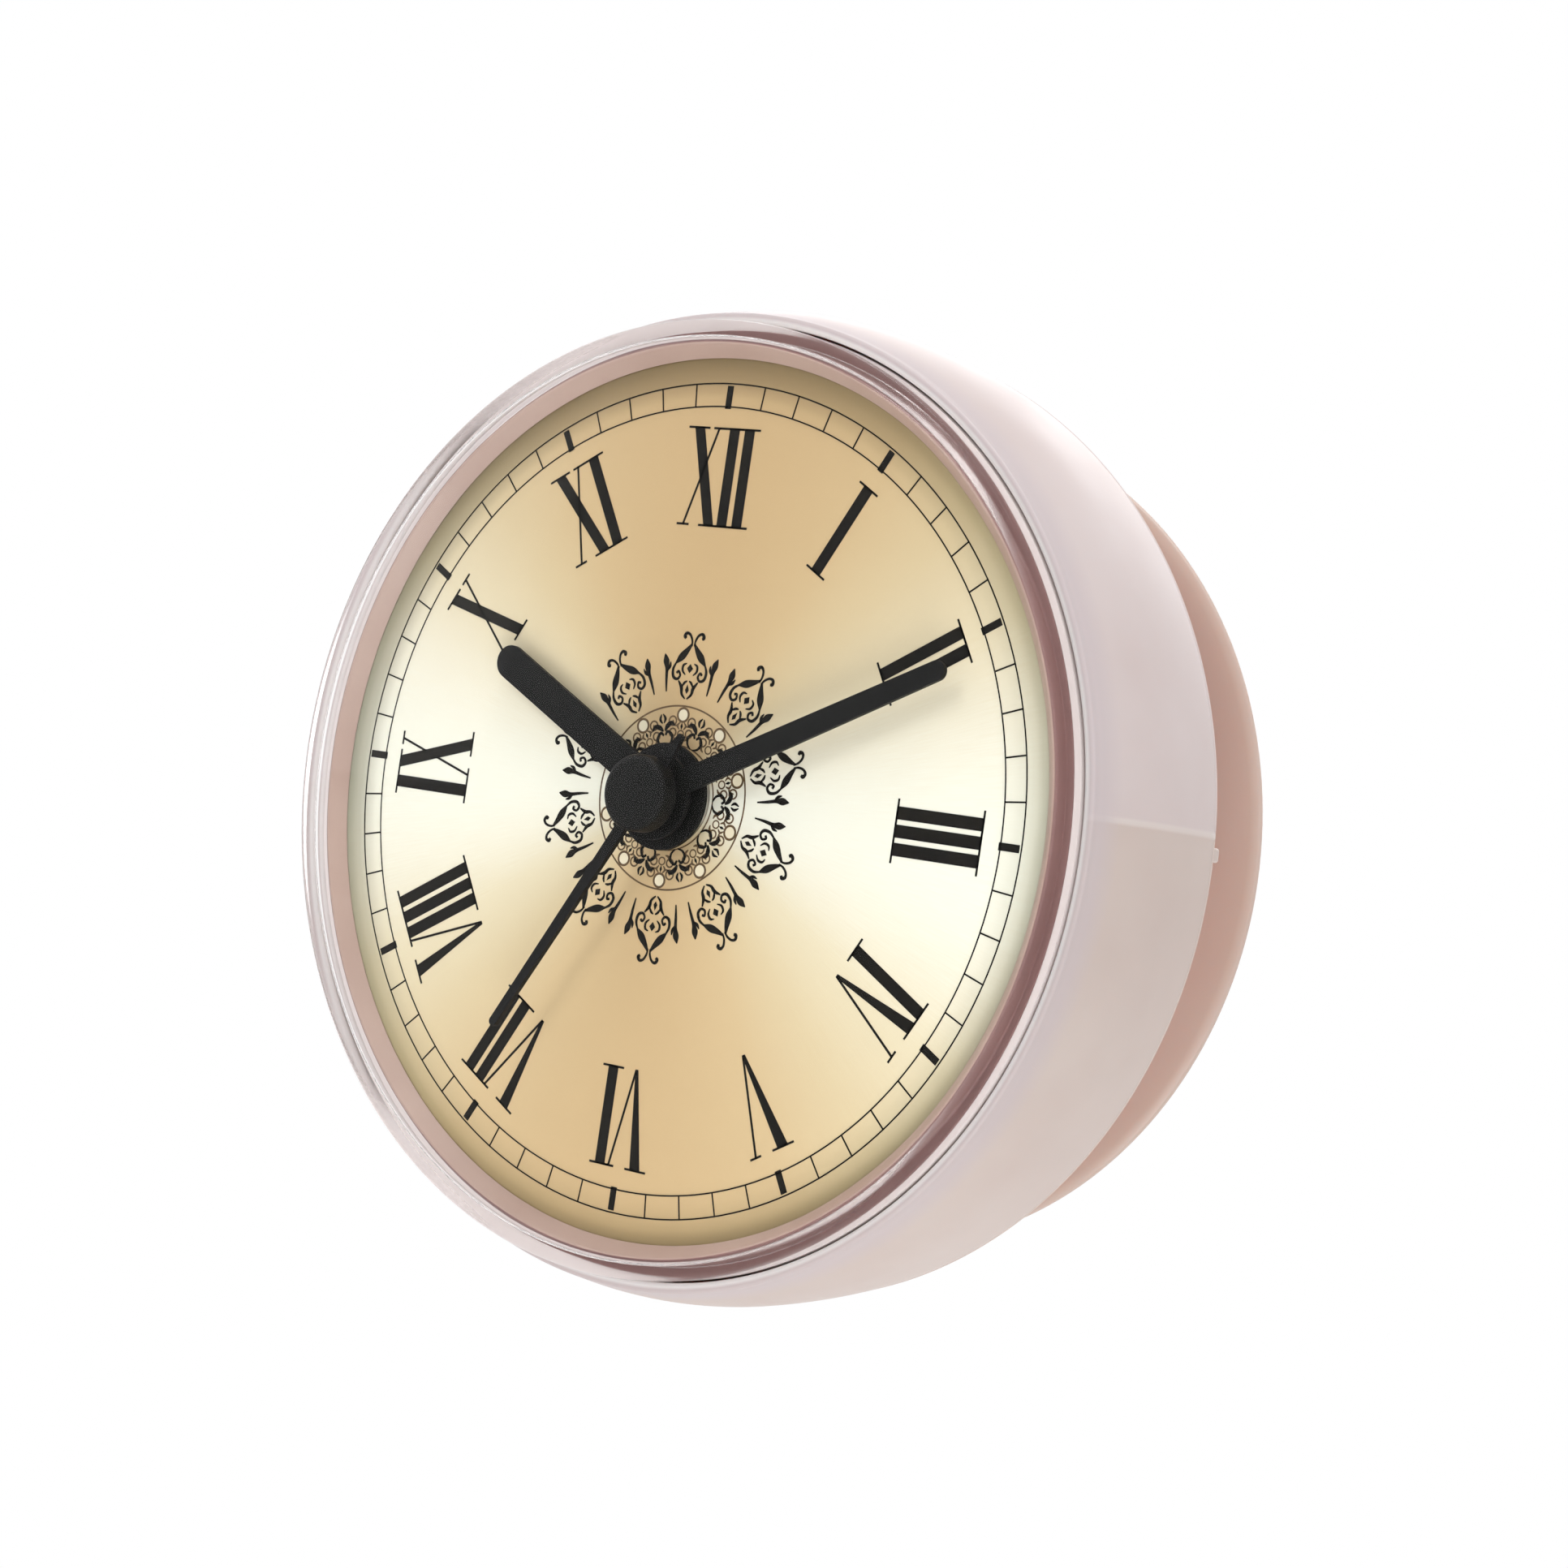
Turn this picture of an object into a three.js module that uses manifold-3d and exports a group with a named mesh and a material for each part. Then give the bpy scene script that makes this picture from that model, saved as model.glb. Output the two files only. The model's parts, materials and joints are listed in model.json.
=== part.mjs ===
// Suction wall clock for a bathroom: a clear-capped clock module that plugs into a soft round holder,
// which a suction cup fixes to the tiles. Millimetres. The wall is the plane y = 0, the clock faces -Y,
// and +Z points to twelve o'clock.
import * as THREE from 'three';
import { mergeVertices } from 'three/addons/utils/BufferGeometryUtils.js';
import Module from 'manifold-3d';

const wasm = await Module();
wasm.setup();

// Facets round a circle.
const WIDE_SIDES = 40;
const RING_SIDES = 32;
const MIDDLE_SIDES = 24;
const SMALL_SIDES = 16;

// Clearances.
const SEAT_GAP = 0.2; // between faces that rest on each other
const RUN_GAP = 0.15; // round running shafts and pipes
const PIVOT_GAP = 0.1; // round pivots in their plates
const PRESS_GAP = 0.05; // round hands and knobs pressed on their arbors
const SLIDE_GAP = 0.3; // between the module and the holder that it plugs into

// Dial.
const DIAL_THICK = 0.5;

// Lens: a clear domed cap with an upright wall and a thin skirt that clips over the case.
const LENS_CLEAR = 1.5; // from the second hand's boss to the window
const LENS_DOME_RADIUS = 150;
const LENS_CORNER = 1.5;
const LENS_INNER_CORNER = 0.8;
const LENS_WALL = 1.1;
const LENS_FOOT = 0.4; // from the dial up to the wall's foot
const SKIRT_THICK = 0.7;
const SKIRT_BEAD_LENGTH = 0.6;

// Gasket under the lens, with a sloping ring that frames the dial.
const GASKET_WIDTH = 1.1;
const RING_HEIGHT = 1.1; // over the dial
const RING_EDGE = 0.25; // flat front of the ring, outside its slope
const RING_LIP = 0.12; // by which the ring covers the dial's edge

// Module case behind the dial, and the cover that closes it.
const CASE_FRONT_WALL = 1.2;
const CASE_FLANGE_LENGTH = 2.4;
const CASE_RIM = 1.5; // wall round the cover
const CLIP_STEP = 0.7; // by which the flange stands out for the lens to clip on
const COVER_THICK = 1.4;
const SEAL_SEAT = 1.6;
const SEAL_THICK = 0.6;
const COVER_SCREWS = 3;
const SCREW_BEARING = 90; // the first screw is at twelve o'clock
const SCREW_HEAD_RADIUS = 1.7;
const SCREW_HEAD_HEIGHT = 0.6;
const SCREW_SHANK_RADIUS = 0.8;
const SCREW_LENGTH = 4.5;
const SCREW_SLOT_WIDTH = 0.5;
const SCREW_SLOT_DEPTH = 0.35;
const POST_RADIUS = 2.3;
const POST_GAP = 0.9; // from a screw post to the case wall

// Holder: soft barrel-shaped shell.
const SHELL_MOUTH_WALL = 0.6;
const SHELL_BULGE = 1.23; // from the mouth's radius to the widest ring's
const SHELL_TAPER = 0.5; // from the widest ring's radius to the rear edge's
const SHELL_BELLY = 7.4; // from the mouth to the widest ring
const SHELL_MOUTH = 0.2; // the mouth stands this far in front of the dial
const SHELL_REAR_WALL = 1.8;
const SHELL_EDGE_ROUND = 0.4;

// Suction cup: a mushroom head buttoned through the shell, a neck and a flared bell.
const CUP_INSET = 3.5; // from the shell's rear edge in to the rim
const CUP_RIM_FLAT = 2;
const CUP_RIM_BEVEL = 0.6;
const CUP_RIM_THICK = 0.9;
const CUP_DEPTH = 5.9;
const CUP_CROWN = 5.2; // thickness of the bell at its middle
const CUP_COLLAR_RADIUS = 10;
const CUP_COLLAR_LENGTH = 2.1;
const CUP_NECK_RADIUS = 6;
const CUP_HEAD_RADIUS = 9.5;
const CUP_HEAD_THICK = 1.4;
const CUP_HEAD_SPACE = 0.7; // from the head to the module's cover

// Hands, as lengths from the axis and angles clockwise from twelve.
const HAND_THICK = 0.4;
const HAND_STEP = 0.65; // between one hand and the next
const HOUR_HEIGHT = 0.7; // over the dial
const HOUR_LENGTH = 18.6;
const HOUR_WIDTH = 2.4;
const HOUR_HUB = 3.7;
const HOUR_ANGLE = 297;
const MINUTE_LENGTH = 24.8;
const MINUTE_ROOT_WIDTH = 1.75;
const MINUTE_TIP_WIDTH = 1.35;
const MINUTE_HUB = 3.1;
const MINUTE_ANGLE = 64;
const SECOND_LENGTH = 20.4;
const SECOND_TAIL = 5;
const SECOND_WIDTH = 0.9;
const SECOND_ANGLE = 211;
const DISC_RADIUS = 2.65; // round front disc of the second hand
const DISC_HEIGHT = 1.5;
const DISC_ROUND = 0.25;
const ARBOR_REACH = 0.9; // by which the second arbor reaches into the disc

// Concentric arbors.
const SECOND_ARBOR = 0.5;
const PIPE_WALL = 0.55;
const BUSH_WALL = 1.05;

// Gear train: tooth counts and modules. Each pair of wheels on two shared axes keeps one centre distance.
const LEAVES = 6; // of the pinions in the going train
const MOTION_LEAVES = 8;
const CANNON_LEAVES = 10;
const MOTION_TEETH = 30;
const HOUR_TEETH = 32;
const CENTRE_TEETH = 48;
const THIRD_TEETH = 45;
const SECOND_TEETH = 36;
const FIFTH_TEETH = 30;
const MOTION_MODULE = 0.34;
const CENTRE_MODULE = 0.24;
const SECOND_MODULE = 0.315;
const FIFTH_MODULE = 0.24;
const MOTION_BEARING = -30; // directions of the side arbors, anticlockwise from three o'clock
const THIRD_BEARING = 100;
const FIFTH_BEARING = 190;
const ROTOR_BEARING = 200;
const WHEEL_THICK = 0.6;
const WHEEL_GAP = 0.2; // from one wheel to the next along the axis
const SIDE_ARBOR = 0.35;
const PIVOT_RADIUS = 0.25;
const KNOB_ARBOR = 0.5;
const KNOB_RADIUS = 2.5;
const KNOB_THICK = 1;
const KNOB_RIDGES = 12;
const KNOB_RIDGE = 0.25;
const KNOB_SINK = 0.2;

// Straight-flanked teeth with running backlash. Each row of a tooth gives the height over the pitch
// circle, in modules, and the share of a pitch from the tooth's middle.
const WHEEL_TOOTH = [[0.8, -0.07], [0.8, 0.07], [-1.35, 0.5]];
const LEAF_TOOTH = [[-1.15, -0.2], [0.75, -0.08], [0.75, 0.08], [-1.15, 0.2]];

// Movement housing.
const HOUSING_GAP = 0.4; // round the train and the motor
const MOVEMENT_CORNER = 3;
const MOVEMENT_WALL = 1;
const PLATE_THICK = 0.8;
const BRIDGE_SPACE = 0.5; // from the bridge to the module's cover

// Stepping motor.
const MAGNET_RADIUS = 1.6;
const MAGNET_LENGTH = 2;
const MOTOR_AIR_GAP = 0.4;
const STATOR_THICK = 0.6;
const STATOR_LEG = 2;
const STATOR_NECK = 0.4; // thin stretch of plate beside the rotor
const STATOR_FOOT = 1.6;
const COIL_LENGTH = 10.4;
const COIL_RADIUS = 1.5;
const COIL_END = 0.4; // from the coil to the stator at each end
const CORE_WIDTH = 1;
const CORE_LUG = 1.2;

// Electronics and cell.
const BOARD_WIDTH = 7;
const BOARD_HEIGHT = 12;
const BOARD_THICK = 0.6;
const CHIP_SIZE = 3.2;
const CHIP_HEIGHT = 0.8;
const CRYSTAL_RADIUS = 1;
const CRYSTAL_LENGTH = 6;
const CELL_RADIUS = 5.8;
const CELL_LENGTH = 5.4;
const CELL_CAP_RADIUS = 4.75;
const CELL_CAP_HEIGHT = 0.5;
const CELL_SHOULDER = 0.4;
const CELL_SPACE = 1.7; // from the movement to the cell's well
const WELL_GAP = 0.4;
const WELL_WALL = 0.9;
const CONTACT_THICK = 0.25;
const CONTACT_WIDTH = 4;
const CONTACT_LEAF = 3.8;
const HATCH_RIM = 1.9; // cover left outside the hatch
const DOOR_GAP = 0.6; // from the cell to the door's skirt
const DOOR_SKIRT = 0.9;
const DOOR_LUG = 1;
const DOOR_LUG_ANGLE = 26;
const DOOR_LUG_THICK = 0.6;
const DOOR_OPEN_ANGLE = 60;
const COIN_SLOT_WIDTH = 1.4;
const COIN_SLOT_LENGTH = 9.5;
const COIN_SLOT_DEPTH = 0.7;

// Arbor places in the plane of the dial.
function polar(distance, degrees) {
  const angle = THREE.MathUtils.degToRad(degrees);
  return new THREE.Vector2(distance * Math.cos(angle), distance * Math.sin(angle));
}
const CENTRE_AXIS = new THREE.Vector2(0, 0);
const MOTION_DISTANCE = (MOTION_MODULE * (CANNON_LEAVES + MOTION_TEETH)) / 2;
const HOUR_MODULE = (2 * MOTION_DISTANCE) / (MOTION_LEAVES + HOUR_TEETH);
const THIRD_DISTANCE = (CENTRE_MODULE * (LEAVES + CENTRE_TEETH)) / 2;
const THIRD_MODULE = (2 * THIRD_DISTANCE) / (LEAVES + THIRD_TEETH);
const FIFTH_DISTANCE = (SECOND_MODULE * (LEAVES + SECOND_TEETH)) / 2;
const ROTOR_DISTANCE = (FIFTH_MODULE * (LEAVES + FIFTH_TEETH)) / 2;
const MOTION_AXIS = polar(MOTION_DISTANCE, MOTION_BEARING);
const THIRD_AXIS = polar(THIRD_DISTANCE, THIRD_BEARING);
const FIFTH_AXIS = polar(FIFTH_DISTANCE, FIFTH_BEARING);
const ROTOR_AXIS = polar(ROTOR_DISTANCE, ROTOR_BEARING).add(FIFTH_AXIS);

// The motor and the train set the housing, and the housing sets the cell's place.
const ROTOR_HOLE = MAGNET_RADIUS + MOTOR_AIR_GAP;
const STATOR_LEFT = ROTOR_AXIS.x - ROTOR_HOLE - STATOR_LEG;
const STATOR_RIGHT = ROTOR_AXIS.x + ROTOR_HOLE + STATOR_NECK;
const STATOR_LOW = ROTOR_AXIS.y - ROTOR_HOLE - STATOR_FOOT;
const STATOR_FORK = ROTOR_AXIS.y + ROTOR_HOLE + STATOR_LEG;
const STATOR_WINDOW = STATOR_FORK + COIL_LENGTH + 2 * COIL_END;
const STATOR_HIGH = STATOR_WINDOW + STATOR_LEG;
const MOTION_TIP = (MOTION_TEETH / 2 + WHEEL_TOOTH[0][0]) * MOTION_MODULE;
const MOVEMENT_HALF_WIDTH = HOUSING_GAP + MOVEMENT_WALL - STATOR_LEFT;
const MOVEMENT_TOP = STATOR_HIGH + 2 * HOUSING_GAP + MOVEMENT_WALL;
const MOVEMENT_LOW = MOTION_AXIS.y - MOTION_TIP - HOUSING_GAP - MOVEMENT_WALL;
const WELL_BORE = CELL_RADIUS + WELL_GAP;
const WELL_RADIUS = WELL_BORE + WELL_WALL;
const CELL_AXIS = new THREE.Vector2(0, MOVEMENT_LOW - CELL_SPACE - WELL_RADIUS);
const DOOR_SKIRT_BORE = CELL_RADIUS + DOOR_GAP;
const DOOR_RADIUS = DOOR_SKIRT_BORE + DOOR_SKIRT;
const LUG_REACH = DOOR_RADIUS + DOOR_LUG;
const NOTCH_REACH = LUG_REACH + 2 * SEAT_GAP;

// Radii from the inside out: the hatch sets the cover, the cover the case, the case the lens and the shell.
const COVER_RADIUS = NOTCH_REACH + HATCH_RIM - CELL_AXIS.y;
const COVER_BORE = COVER_RADIUS + SEAT_GAP;
const CASE_RADIUS = COVER_BORE + CASE_RIM;
const CASE_BORE = COVER_BORE - SEAL_SEAT;
const SCREW_CIRCLE = CASE_BORE - POST_RADIUS - POST_GAP;
const FLANGE_RADIUS = CASE_RADIUS + CLIP_STEP;
const SKIRT_BORE = FLANGE_RADIUS + SEAT_GAP;
const BEAD_BORE = CASE_RADIUS + SLIDE_GAP;
const LENS_RADIUS = SKIRT_BORE + SKIRT_THICK;
const LENS_BORE = LENS_RADIUS - LENS_WALL;
const GASKET_BORE = FLANGE_RADIUS - GASKET_WIDTH;
const DIAL_RADIUS = GASKET_BORE - SLIDE_GAP;
const RING_BORE = DIAL_RADIUS - RING_LIP;
const RING_RADIUS = LENS_BORE - SEAT_GAP;
const SHELL_BORE = LENS_RADIUS + SLIDE_GAP;
const SHELL_INNER = CASE_RADIUS + SLIDE_GAP;
const SHELL_FRONT_RADIUS = SHELL_BORE + SHELL_MOUTH_WALL;
const SHELL_RADIUS = SHELL_FRONT_RADIUS + SHELL_BULGE;
const SHELL_REAR_RADIUS = SHELL_RADIUS - SHELL_TAPER;
const CUP_RIM_RADIUS = SHELL_REAR_RADIUS - CUP_INSET;
const MINUTE_PIPE_BORE = SECOND_ARBOR + RUN_GAP;
const MINUTE_PIPE = MINUTE_PIPE_BORE + PIPE_WALL;
const HOUR_PIPE_BORE = MINUTE_PIPE + RUN_GAP;
const HOUR_PIPE = HOUR_PIPE_BORE + PIPE_WALL;
const BUSH_BORE = HOUR_PIPE + RUN_GAP;
const BUSH_RADIUS = BUSH_BORE + BUSH_WALL;
const BUSH_HOLE = BUSH_RADIUS + SEAT_GAP;
const KNOB_HOLE = KNOB_RADIUS + KNOB_RIDGE + SEAT_GAP;

// Places along the clock's axis, from the wall to the front.
const WHEEL_STEP = WHEEL_THICK + WHEEL_GAP;
const CROWN_FRONT = -CUP_DEPTH - CUP_CROWN;
const COLLAR_FRONT = CROWN_FRONT - CUP_COLLAR_LENGTH;
const SHELL_BACK = COLLAR_FRONT - SEAT_GAP;
const SHELL_FLOOR = SHELL_BACK - SHELL_REAR_WALL;
const HEAD_BACK = SHELL_FLOOR - SEAT_GAP;
const HEAD_FRONT = HEAD_BACK - CUP_HEAD_THICK;
const CASE_BACK = HEAD_FRONT - CUP_HEAD_SPACE;
const COVER_FRONT = CASE_BACK - COVER_THICK;
const SEAL_FRONT = COVER_FRONT - SEAT_GAP - SEAL_THICK;
const POST_BACK = COVER_FRONT - SEAT_GAP;
const BRIDGE_BACK = COVER_FRONT - BRIDGE_SPACE;
const BRIDGE_FRONT = BRIDGE_BACK - PLATE_THICK;
const FIFTH_LAYER = BRIDGE_FRONT - WHEEL_STEP;
const SECOND_LAYER = FIFTH_LAYER - WHEEL_STEP;
const THIRD_LAYER = SECOND_LAYER - WHEEL_STEP;
const CENTRE_LAYER = THIRD_LAYER - WHEEL_STEP;
const MOTION_LAYER = CENTRE_LAYER - WHEEL_STEP;
const HOUR_LAYER = MOTION_LAYER - WHEEL_STEP;
const PLATE_BACK = HOUR_LAYER - WHEEL_GAP;
const PLATE_FRONT = PLATE_BACK - PLATE_THICK;
const CASE_FLOOR = PLATE_FRONT - SEAT_GAP;
const CASE_FRONT = CASE_FLOOR - CASE_FRONT_WALL;
const FLANGE_BACK = CASE_FRONT + CASE_FLANGE_LENGTH;
const SKIRT_BACK = FLANGE_BACK + SEAT_GAP + SKIRT_BEAD_LENGTH;
const SHELL_LEDGE = SKIRT_BACK + SEAT_GAP;
const DIAL_BACK = CASE_FRONT - SEAT_GAP / 2;
const DIAL_FRONT = DIAL_BACK - DIAL_THICK;
const RING_FRONT = DIAL_FRONT - RING_HEIGHT;
const LENS_FOOT_Y = DIAL_FRONT - LENS_FOOT;
const SHELL_MOUTH_Y = DIAL_FRONT - SHELL_MOUTH;
const HOUR_BACK = DIAL_FRONT - HOUR_HEIGHT;
const HOUR_FRONT = HOUR_BACK - HAND_THICK;
const MINUTE_BACK = HOUR_FRONT - HAND_STEP;
const MINUTE_FRONT = MINUTE_BACK - HAND_THICK;
const SECOND_BACK = MINUTE_FRONT - HAND_STEP;
const DISC_FRONT = SECOND_BACK - DISC_HEIGHT;
const WINDOW_BACK = DISC_FRONT - LENS_CLEAR;
const LENS_FRONT = WINDOW_BACK - LENS_WALL;

// Solid modelling helpers.
function merged(geometry) {
  const bare = geometry.clone();
  bare.deleteAttribute('normal');
  bare.deleteAttribute('uv');
  const joined = mergeVertices(bare, 1e-4);
  const kept = [];
  const index = joined.index.array;
  for (let i = 0; i < index.length; i += 3) {
    const [a, b, c] = [index[i], index[i + 1], index[i + 2]];
    if (a !== b && b !== c && c !== a) kept.push(a, b, c);
  }
  joined.setIndex(kept);
  return joined;
}

function signedVolume(geometry) {
  const p = geometry.attributes.position;
  const index = geometry.index.array;
  const [a, b, c] = [new THREE.Vector3(), new THREE.Vector3(), new THREE.Vector3()];
  let sum = 0;
  for (let i = 0; i < index.length; i += 3) {
    a.fromBufferAttribute(p, index[i]);
    b.fromBufferAttribute(p, index[i + 1]);
    c.fromBufferAttribute(p, index[i + 2]);
    sum += a.dot(b.cross(c)) / 6;
  }
  return sum;
}

function solid(geometry) {
  const clean = merged(geometry);
  const triangles = Uint32Array.from(clean.index.array);
  if (signedVolume(clean) < 0) triangles.reverse();
  return new wasm.Manifold(new wasm.Mesh({
    numProp: 3,
    vertProperties: Float32Array.from(clean.attributes.position.array),
    triVerts: triangles,
  }));
}

function geometryOf(body) {
  const mesh = body.getMesh();
  const geometry = new THREE.BufferGeometry();
  geometry.setAttribute('position', new THREE.BufferAttribute(Float32Array.from(mesh.vertProperties), 3));
  geometry.setIndex(Array.from(mesh.triVerts));
  geometry.computeVertexNormals();
  return geometry;
}

function joined(...bodies) {
  return bodies.reduce((sum, body) => sum.add(body));
}

// A profile of [radius, y] points turned about the clock's axis or about a parallel axis.
function turned(profile, sides, axis = CENTRE_AXIS) {
  const points = profile.map(([radius, y]) => new THREE.Vector2(radius, y));
  const onAxis = points[0].x === 0 && points[points.length - 1].x === 0;
  if (!onAxis) points.push(points[0].clone());
  const geometry = new THREE.LatheGeometry(points, sides);
  geometry.translate(axis.x, 0, axis.y);
  return solid(geometry);
}

function disc(radius, front, back, sides, axis = CENTRE_AXIS) {
  return turned([[0, front], [radius, front], [radius, back], [0, back]], sides, axis);
}

function tube(bore, radius, front, back, sides, axis = CENTRE_AXIS) {
  return turned([[bore, front], [radius, front], [radius, back], [bore, back]], sides, axis);
}

// An outline in the dial's plane (x to three o'clock, z to twelve) made into a plate.
function plate(outline, front, back) {
  const geometry = new THREE.ExtrudeGeometry(outline, {
    depth: back - front, bevelEnabled: false, curveSegments: 4,
  });
  geometry.rotateX(Math.PI / 2);
  geometry.translate(0, back, 0);
  return solid(geometry);
}

function block(left, right, front, back, low, high) {
  const geometry = new THREE.BoxGeometry(right - left, back - front, high - low);
  geometry.translate((left + right) / 2, (front + back) / 2, (low + high) / 2);
  return solid(geometry);
}

function roundHole(radius, axis, sides = SMALL_SIDES) {
  const hole = new THREE.Path();
  for (let i = 0; i < sides; i += 1) {
    const point = polar(radius, (-360 * i) / sides).add(axis);
    if (i === 0) hole.moveTo(point.x, point.y);
    else hole.lineTo(point.x, point.y);
  }
  hole.closePath();
  return hole;
}

function roundedBox(left, right, low, high, corner) {
  const shape = new THREE.Shape();
  shape.moveTo(left + corner, low);
  shape.lineTo(right - corner, low);
  shape.absarc(right - corner, low + corner, corner, -Math.PI / 2, 0, false);
  shape.lineTo(right, high - corner);
  shape.absarc(right - corner, high - corner, corner, 0, Math.PI / 2, false);
  shape.lineTo(left + corner, high);
  shape.absarc(left + corner, high - corner, corner, Math.PI / 2, Math.PI, false);
  shape.lineTo(left, low + corner);
  shape.absarc(left + corner, low + corner, corner, Math.PI, 1.5 * Math.PI, false);
  return shape;
}

function arc(centreRadius, centreY, radius, fromDegrees, toDegrees, steps) {
  const points = [];
  for (let i = 0; i <= steps; i += 1) {
    const angle = THREE.MathUtils.degToRad(fromDegrees + ((toDegrees - fromDegrees) * i) / steps);
    points.push([centreRadius + radius * Math.cos(angle), centreY + radius * Math.sin(angle)]);
  }
  return points;
}

// A smooth profile through [radius, y] knots.
function flowing(knots, steps) {
  const curve = new THREE.SplineCurve(knots.map(([radius, y]) => new THREE.Vector2(radius, y)));
  return curve.getPoints(steps).map((point) => [point.x, point.y]);
}

// A gear wheel; phase is the direction of one tooth.
function gear(teeth, module, phase, layer, axis, tooth = WHEEL_TOOTH) {
  const pitch = 360 / teeth;
  const outline = new THREE.Shape();
  for (let i = 0; i < teeth; i += 1) {
    tooth.forEach(([height, share], k) => {
      const corner = polar((teeth / 2 + height) * module, phase + (i + share) * pitch).add(axis);
      if (i === 0 && k === 0) outline.moveTo(corner.x, corner.y);
      else outline.lineTo(corner.x, corner.y);
    });
  }
  return plate(outline, layer, layer + WHEEL_THICK);
}

// The tooth direction of a wheel that meshes with a driver whose own tooth direction is known.
function meshed(driverTeeth, driverPhase, driverAxis, teeth, axis) {
  const bearing = THREE.MathUtils.radToDeg(Math.atan2(axis.y - driverAxis.y, axis.x - driverAxis.x));
  const offset = ((driverPhase - bearing) * driverTeeth) / 360;
  return bearing + 180 + ((0.5 - offset) * 360) / teeth;
}

// A side arbor with a pivot in the front plate and another in the bridge.
function sideArbor(axis) {
  const front = PLATE_BACK + PIVOT_GAP;
  const back = BRIDGE_FRONT - PIVOT_GAP;
  const reach = PLATE_THICK / 2;
  return turned([
    [0, front - reach], [PIVOT_RADIUS, front - reach], [PIVOT_RADIUS, front], [SIDE_ARBOR, front],
    [SIDE_ARBOR, back], [PIVOT_RADIUS, back], [PIVOT_RADIUS, back + reach], [0, back + reach],
  ], 10, axis);
}

// Materials.
const soft = (colour, roughness) => new THREE.MeshStandardMaterial({ color: colour, roughness, metalness: 0 });
const metal = (colour, roughness) => new THREE.MeshStandardMaterial({ color: colour, roughness, metalness: 1 });
const SHELL_PINK = soft(0xdccfcc, 0.5);
const CUP_PINK = soft(0xc9a89c, 0.45);
const CASE_PINK = soft(0xc7aaa4, 0.5);
const SEAL_MAUVE = soft(0x8b6967, 0.6);
const CLEAR = new THREE.MeshStandardMaterial({
  color: 0xf4f4f4, roughness: 0.05, metalness: 0, transparent: true, opacity: 0.25,
});
const DIAL_GOLD = new THREE.MeshStandardMaterial({ color: 0xe2cb9c, roughness: 0.35, metalness: 0.3 });
const HAND_BLACK = soft(0x1c1c1a, 0.4);
const NATURAL = soft(0xe9e5da, 0.5);
const BRASS = metal(0xc9a75a, 0.35);
const STEEL = metal(0xb9bcc0, 0.3);
const MAGNET = metal(0x55575a, 0.4);
const COPPER = metal(0xb87345, 0.4);
const BOARD_GREEN = soft(0x2f6b46, 0.6);
const CHIP_BLACK = soft(0x161616, 0.5);

const clock = new THREE.Group();
function place(group, name, body, material) {
  const mesh = new THREE.Mesh(geometryOf(body), material);
  mesh.name = name;
  group.add(mesh);
}

// Holder.
const holder = new THREE.Group();
clock.add(holder);

const shellOutside = flowing([
  [SHELL_FRONT_RADIUS, SHELL_MOUTH_Y],
  [(SHELL_FRONT_RADIUS + 2 * SHELL_RADIUS) / 3, SHELL_MOUTH_Y + SHELL_BELLY / 2],
  [SHELL_RADIUS, SHELL_MOUTH_Y + SHELL_BELLY],
  [(SHELL_REAR_RADIUS + 2 * SHELL_RADIUS) / 3, (SHELL_MOUTH_Y + SHELL_BELLY + SHELL_BACK) / 2],
  [SHELL_REAR_RADIUS, SHELL_BACK - SHELL_EDGE_ROUND],
], 6);
place(holder, 'body_shell', turned([
  ...shellOutside,
  [SHELL_REAR_RADIUS - SHELL_EDGE_ROUND, SHELL_BACK],
  [CUP_NECK_RADIUS + SEAT_GAP, SHELL_BACK],
  [CUP_NECK_RADIUS + SEAT_GAP, SHELL_FLOOR],
  [SHELL_INNER, SHELL_FLOOR],
  [SHELL_INNER, SHELL_LEDGE],
  [SHELL_BORE, SHELL_LEDGE],
  [SHELL_BORE, SHELL_MOUTH_Y],
], WIDE_SIDES), SHELL_PINK);

const rimOuter = CUP_RIM_RADIUS - CUP_RIM_BEVEL;
const rimInner = rimOuter - CUP_RIM_FLAT;
const bellOutside = flowing([
  [CUP_COLLAR_RADIUS, CROWN_FRONT],
  [CUP_COLLAR_RADIUS + (CUP_RIM_RADIUS - CUP_COLLAR_RADIUS) * 0.28, CROWN_FRONT * 0.62],
  [CUP_COLLAR_RADIUS + (CUP_RIM_RADIUS - CUP_COLLAR_RADIUS) * 0.64, CROWN_FRONT * 0.32],
  [CUP_RIM_RADIUS, -CUP_RIM_THICK],
], 5);
const bellInside = flowing([
  [rimInner, 0],
  [rimInner * 0.82, -CUP_DEPTH * 0.22],
  [rimInner * 0.5, -CUP_DEPTH * 0.7],
  [0, -CUP_DEPTH],
], 4);
bellInside[bellInside.length - 1][0] = 0;
place(holder, 'suction_cup', turned([
  [0, HEAD_FRONT],
  [CUP_HEAD_RADIUS, HEAD_FRONT],
  [CUP_HEAD_RADIUS, HEAD_BACK],
  [CUP_NECK_RADIUS, HEAD_BACK],
  [CUP_NECK_RADIUS, COLLAR_FRONT],
  [CUP_COLLAR_RADIUS, COLLAR_FRONT],
  ...bellOutside,
  [rimOuter, 0],
  ...bellInside,
], WIDE_SIDES), CUP_PINK);

// Clock module that plugs into the holder.
const module = new THREE.Group();
clock.add(module);

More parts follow.
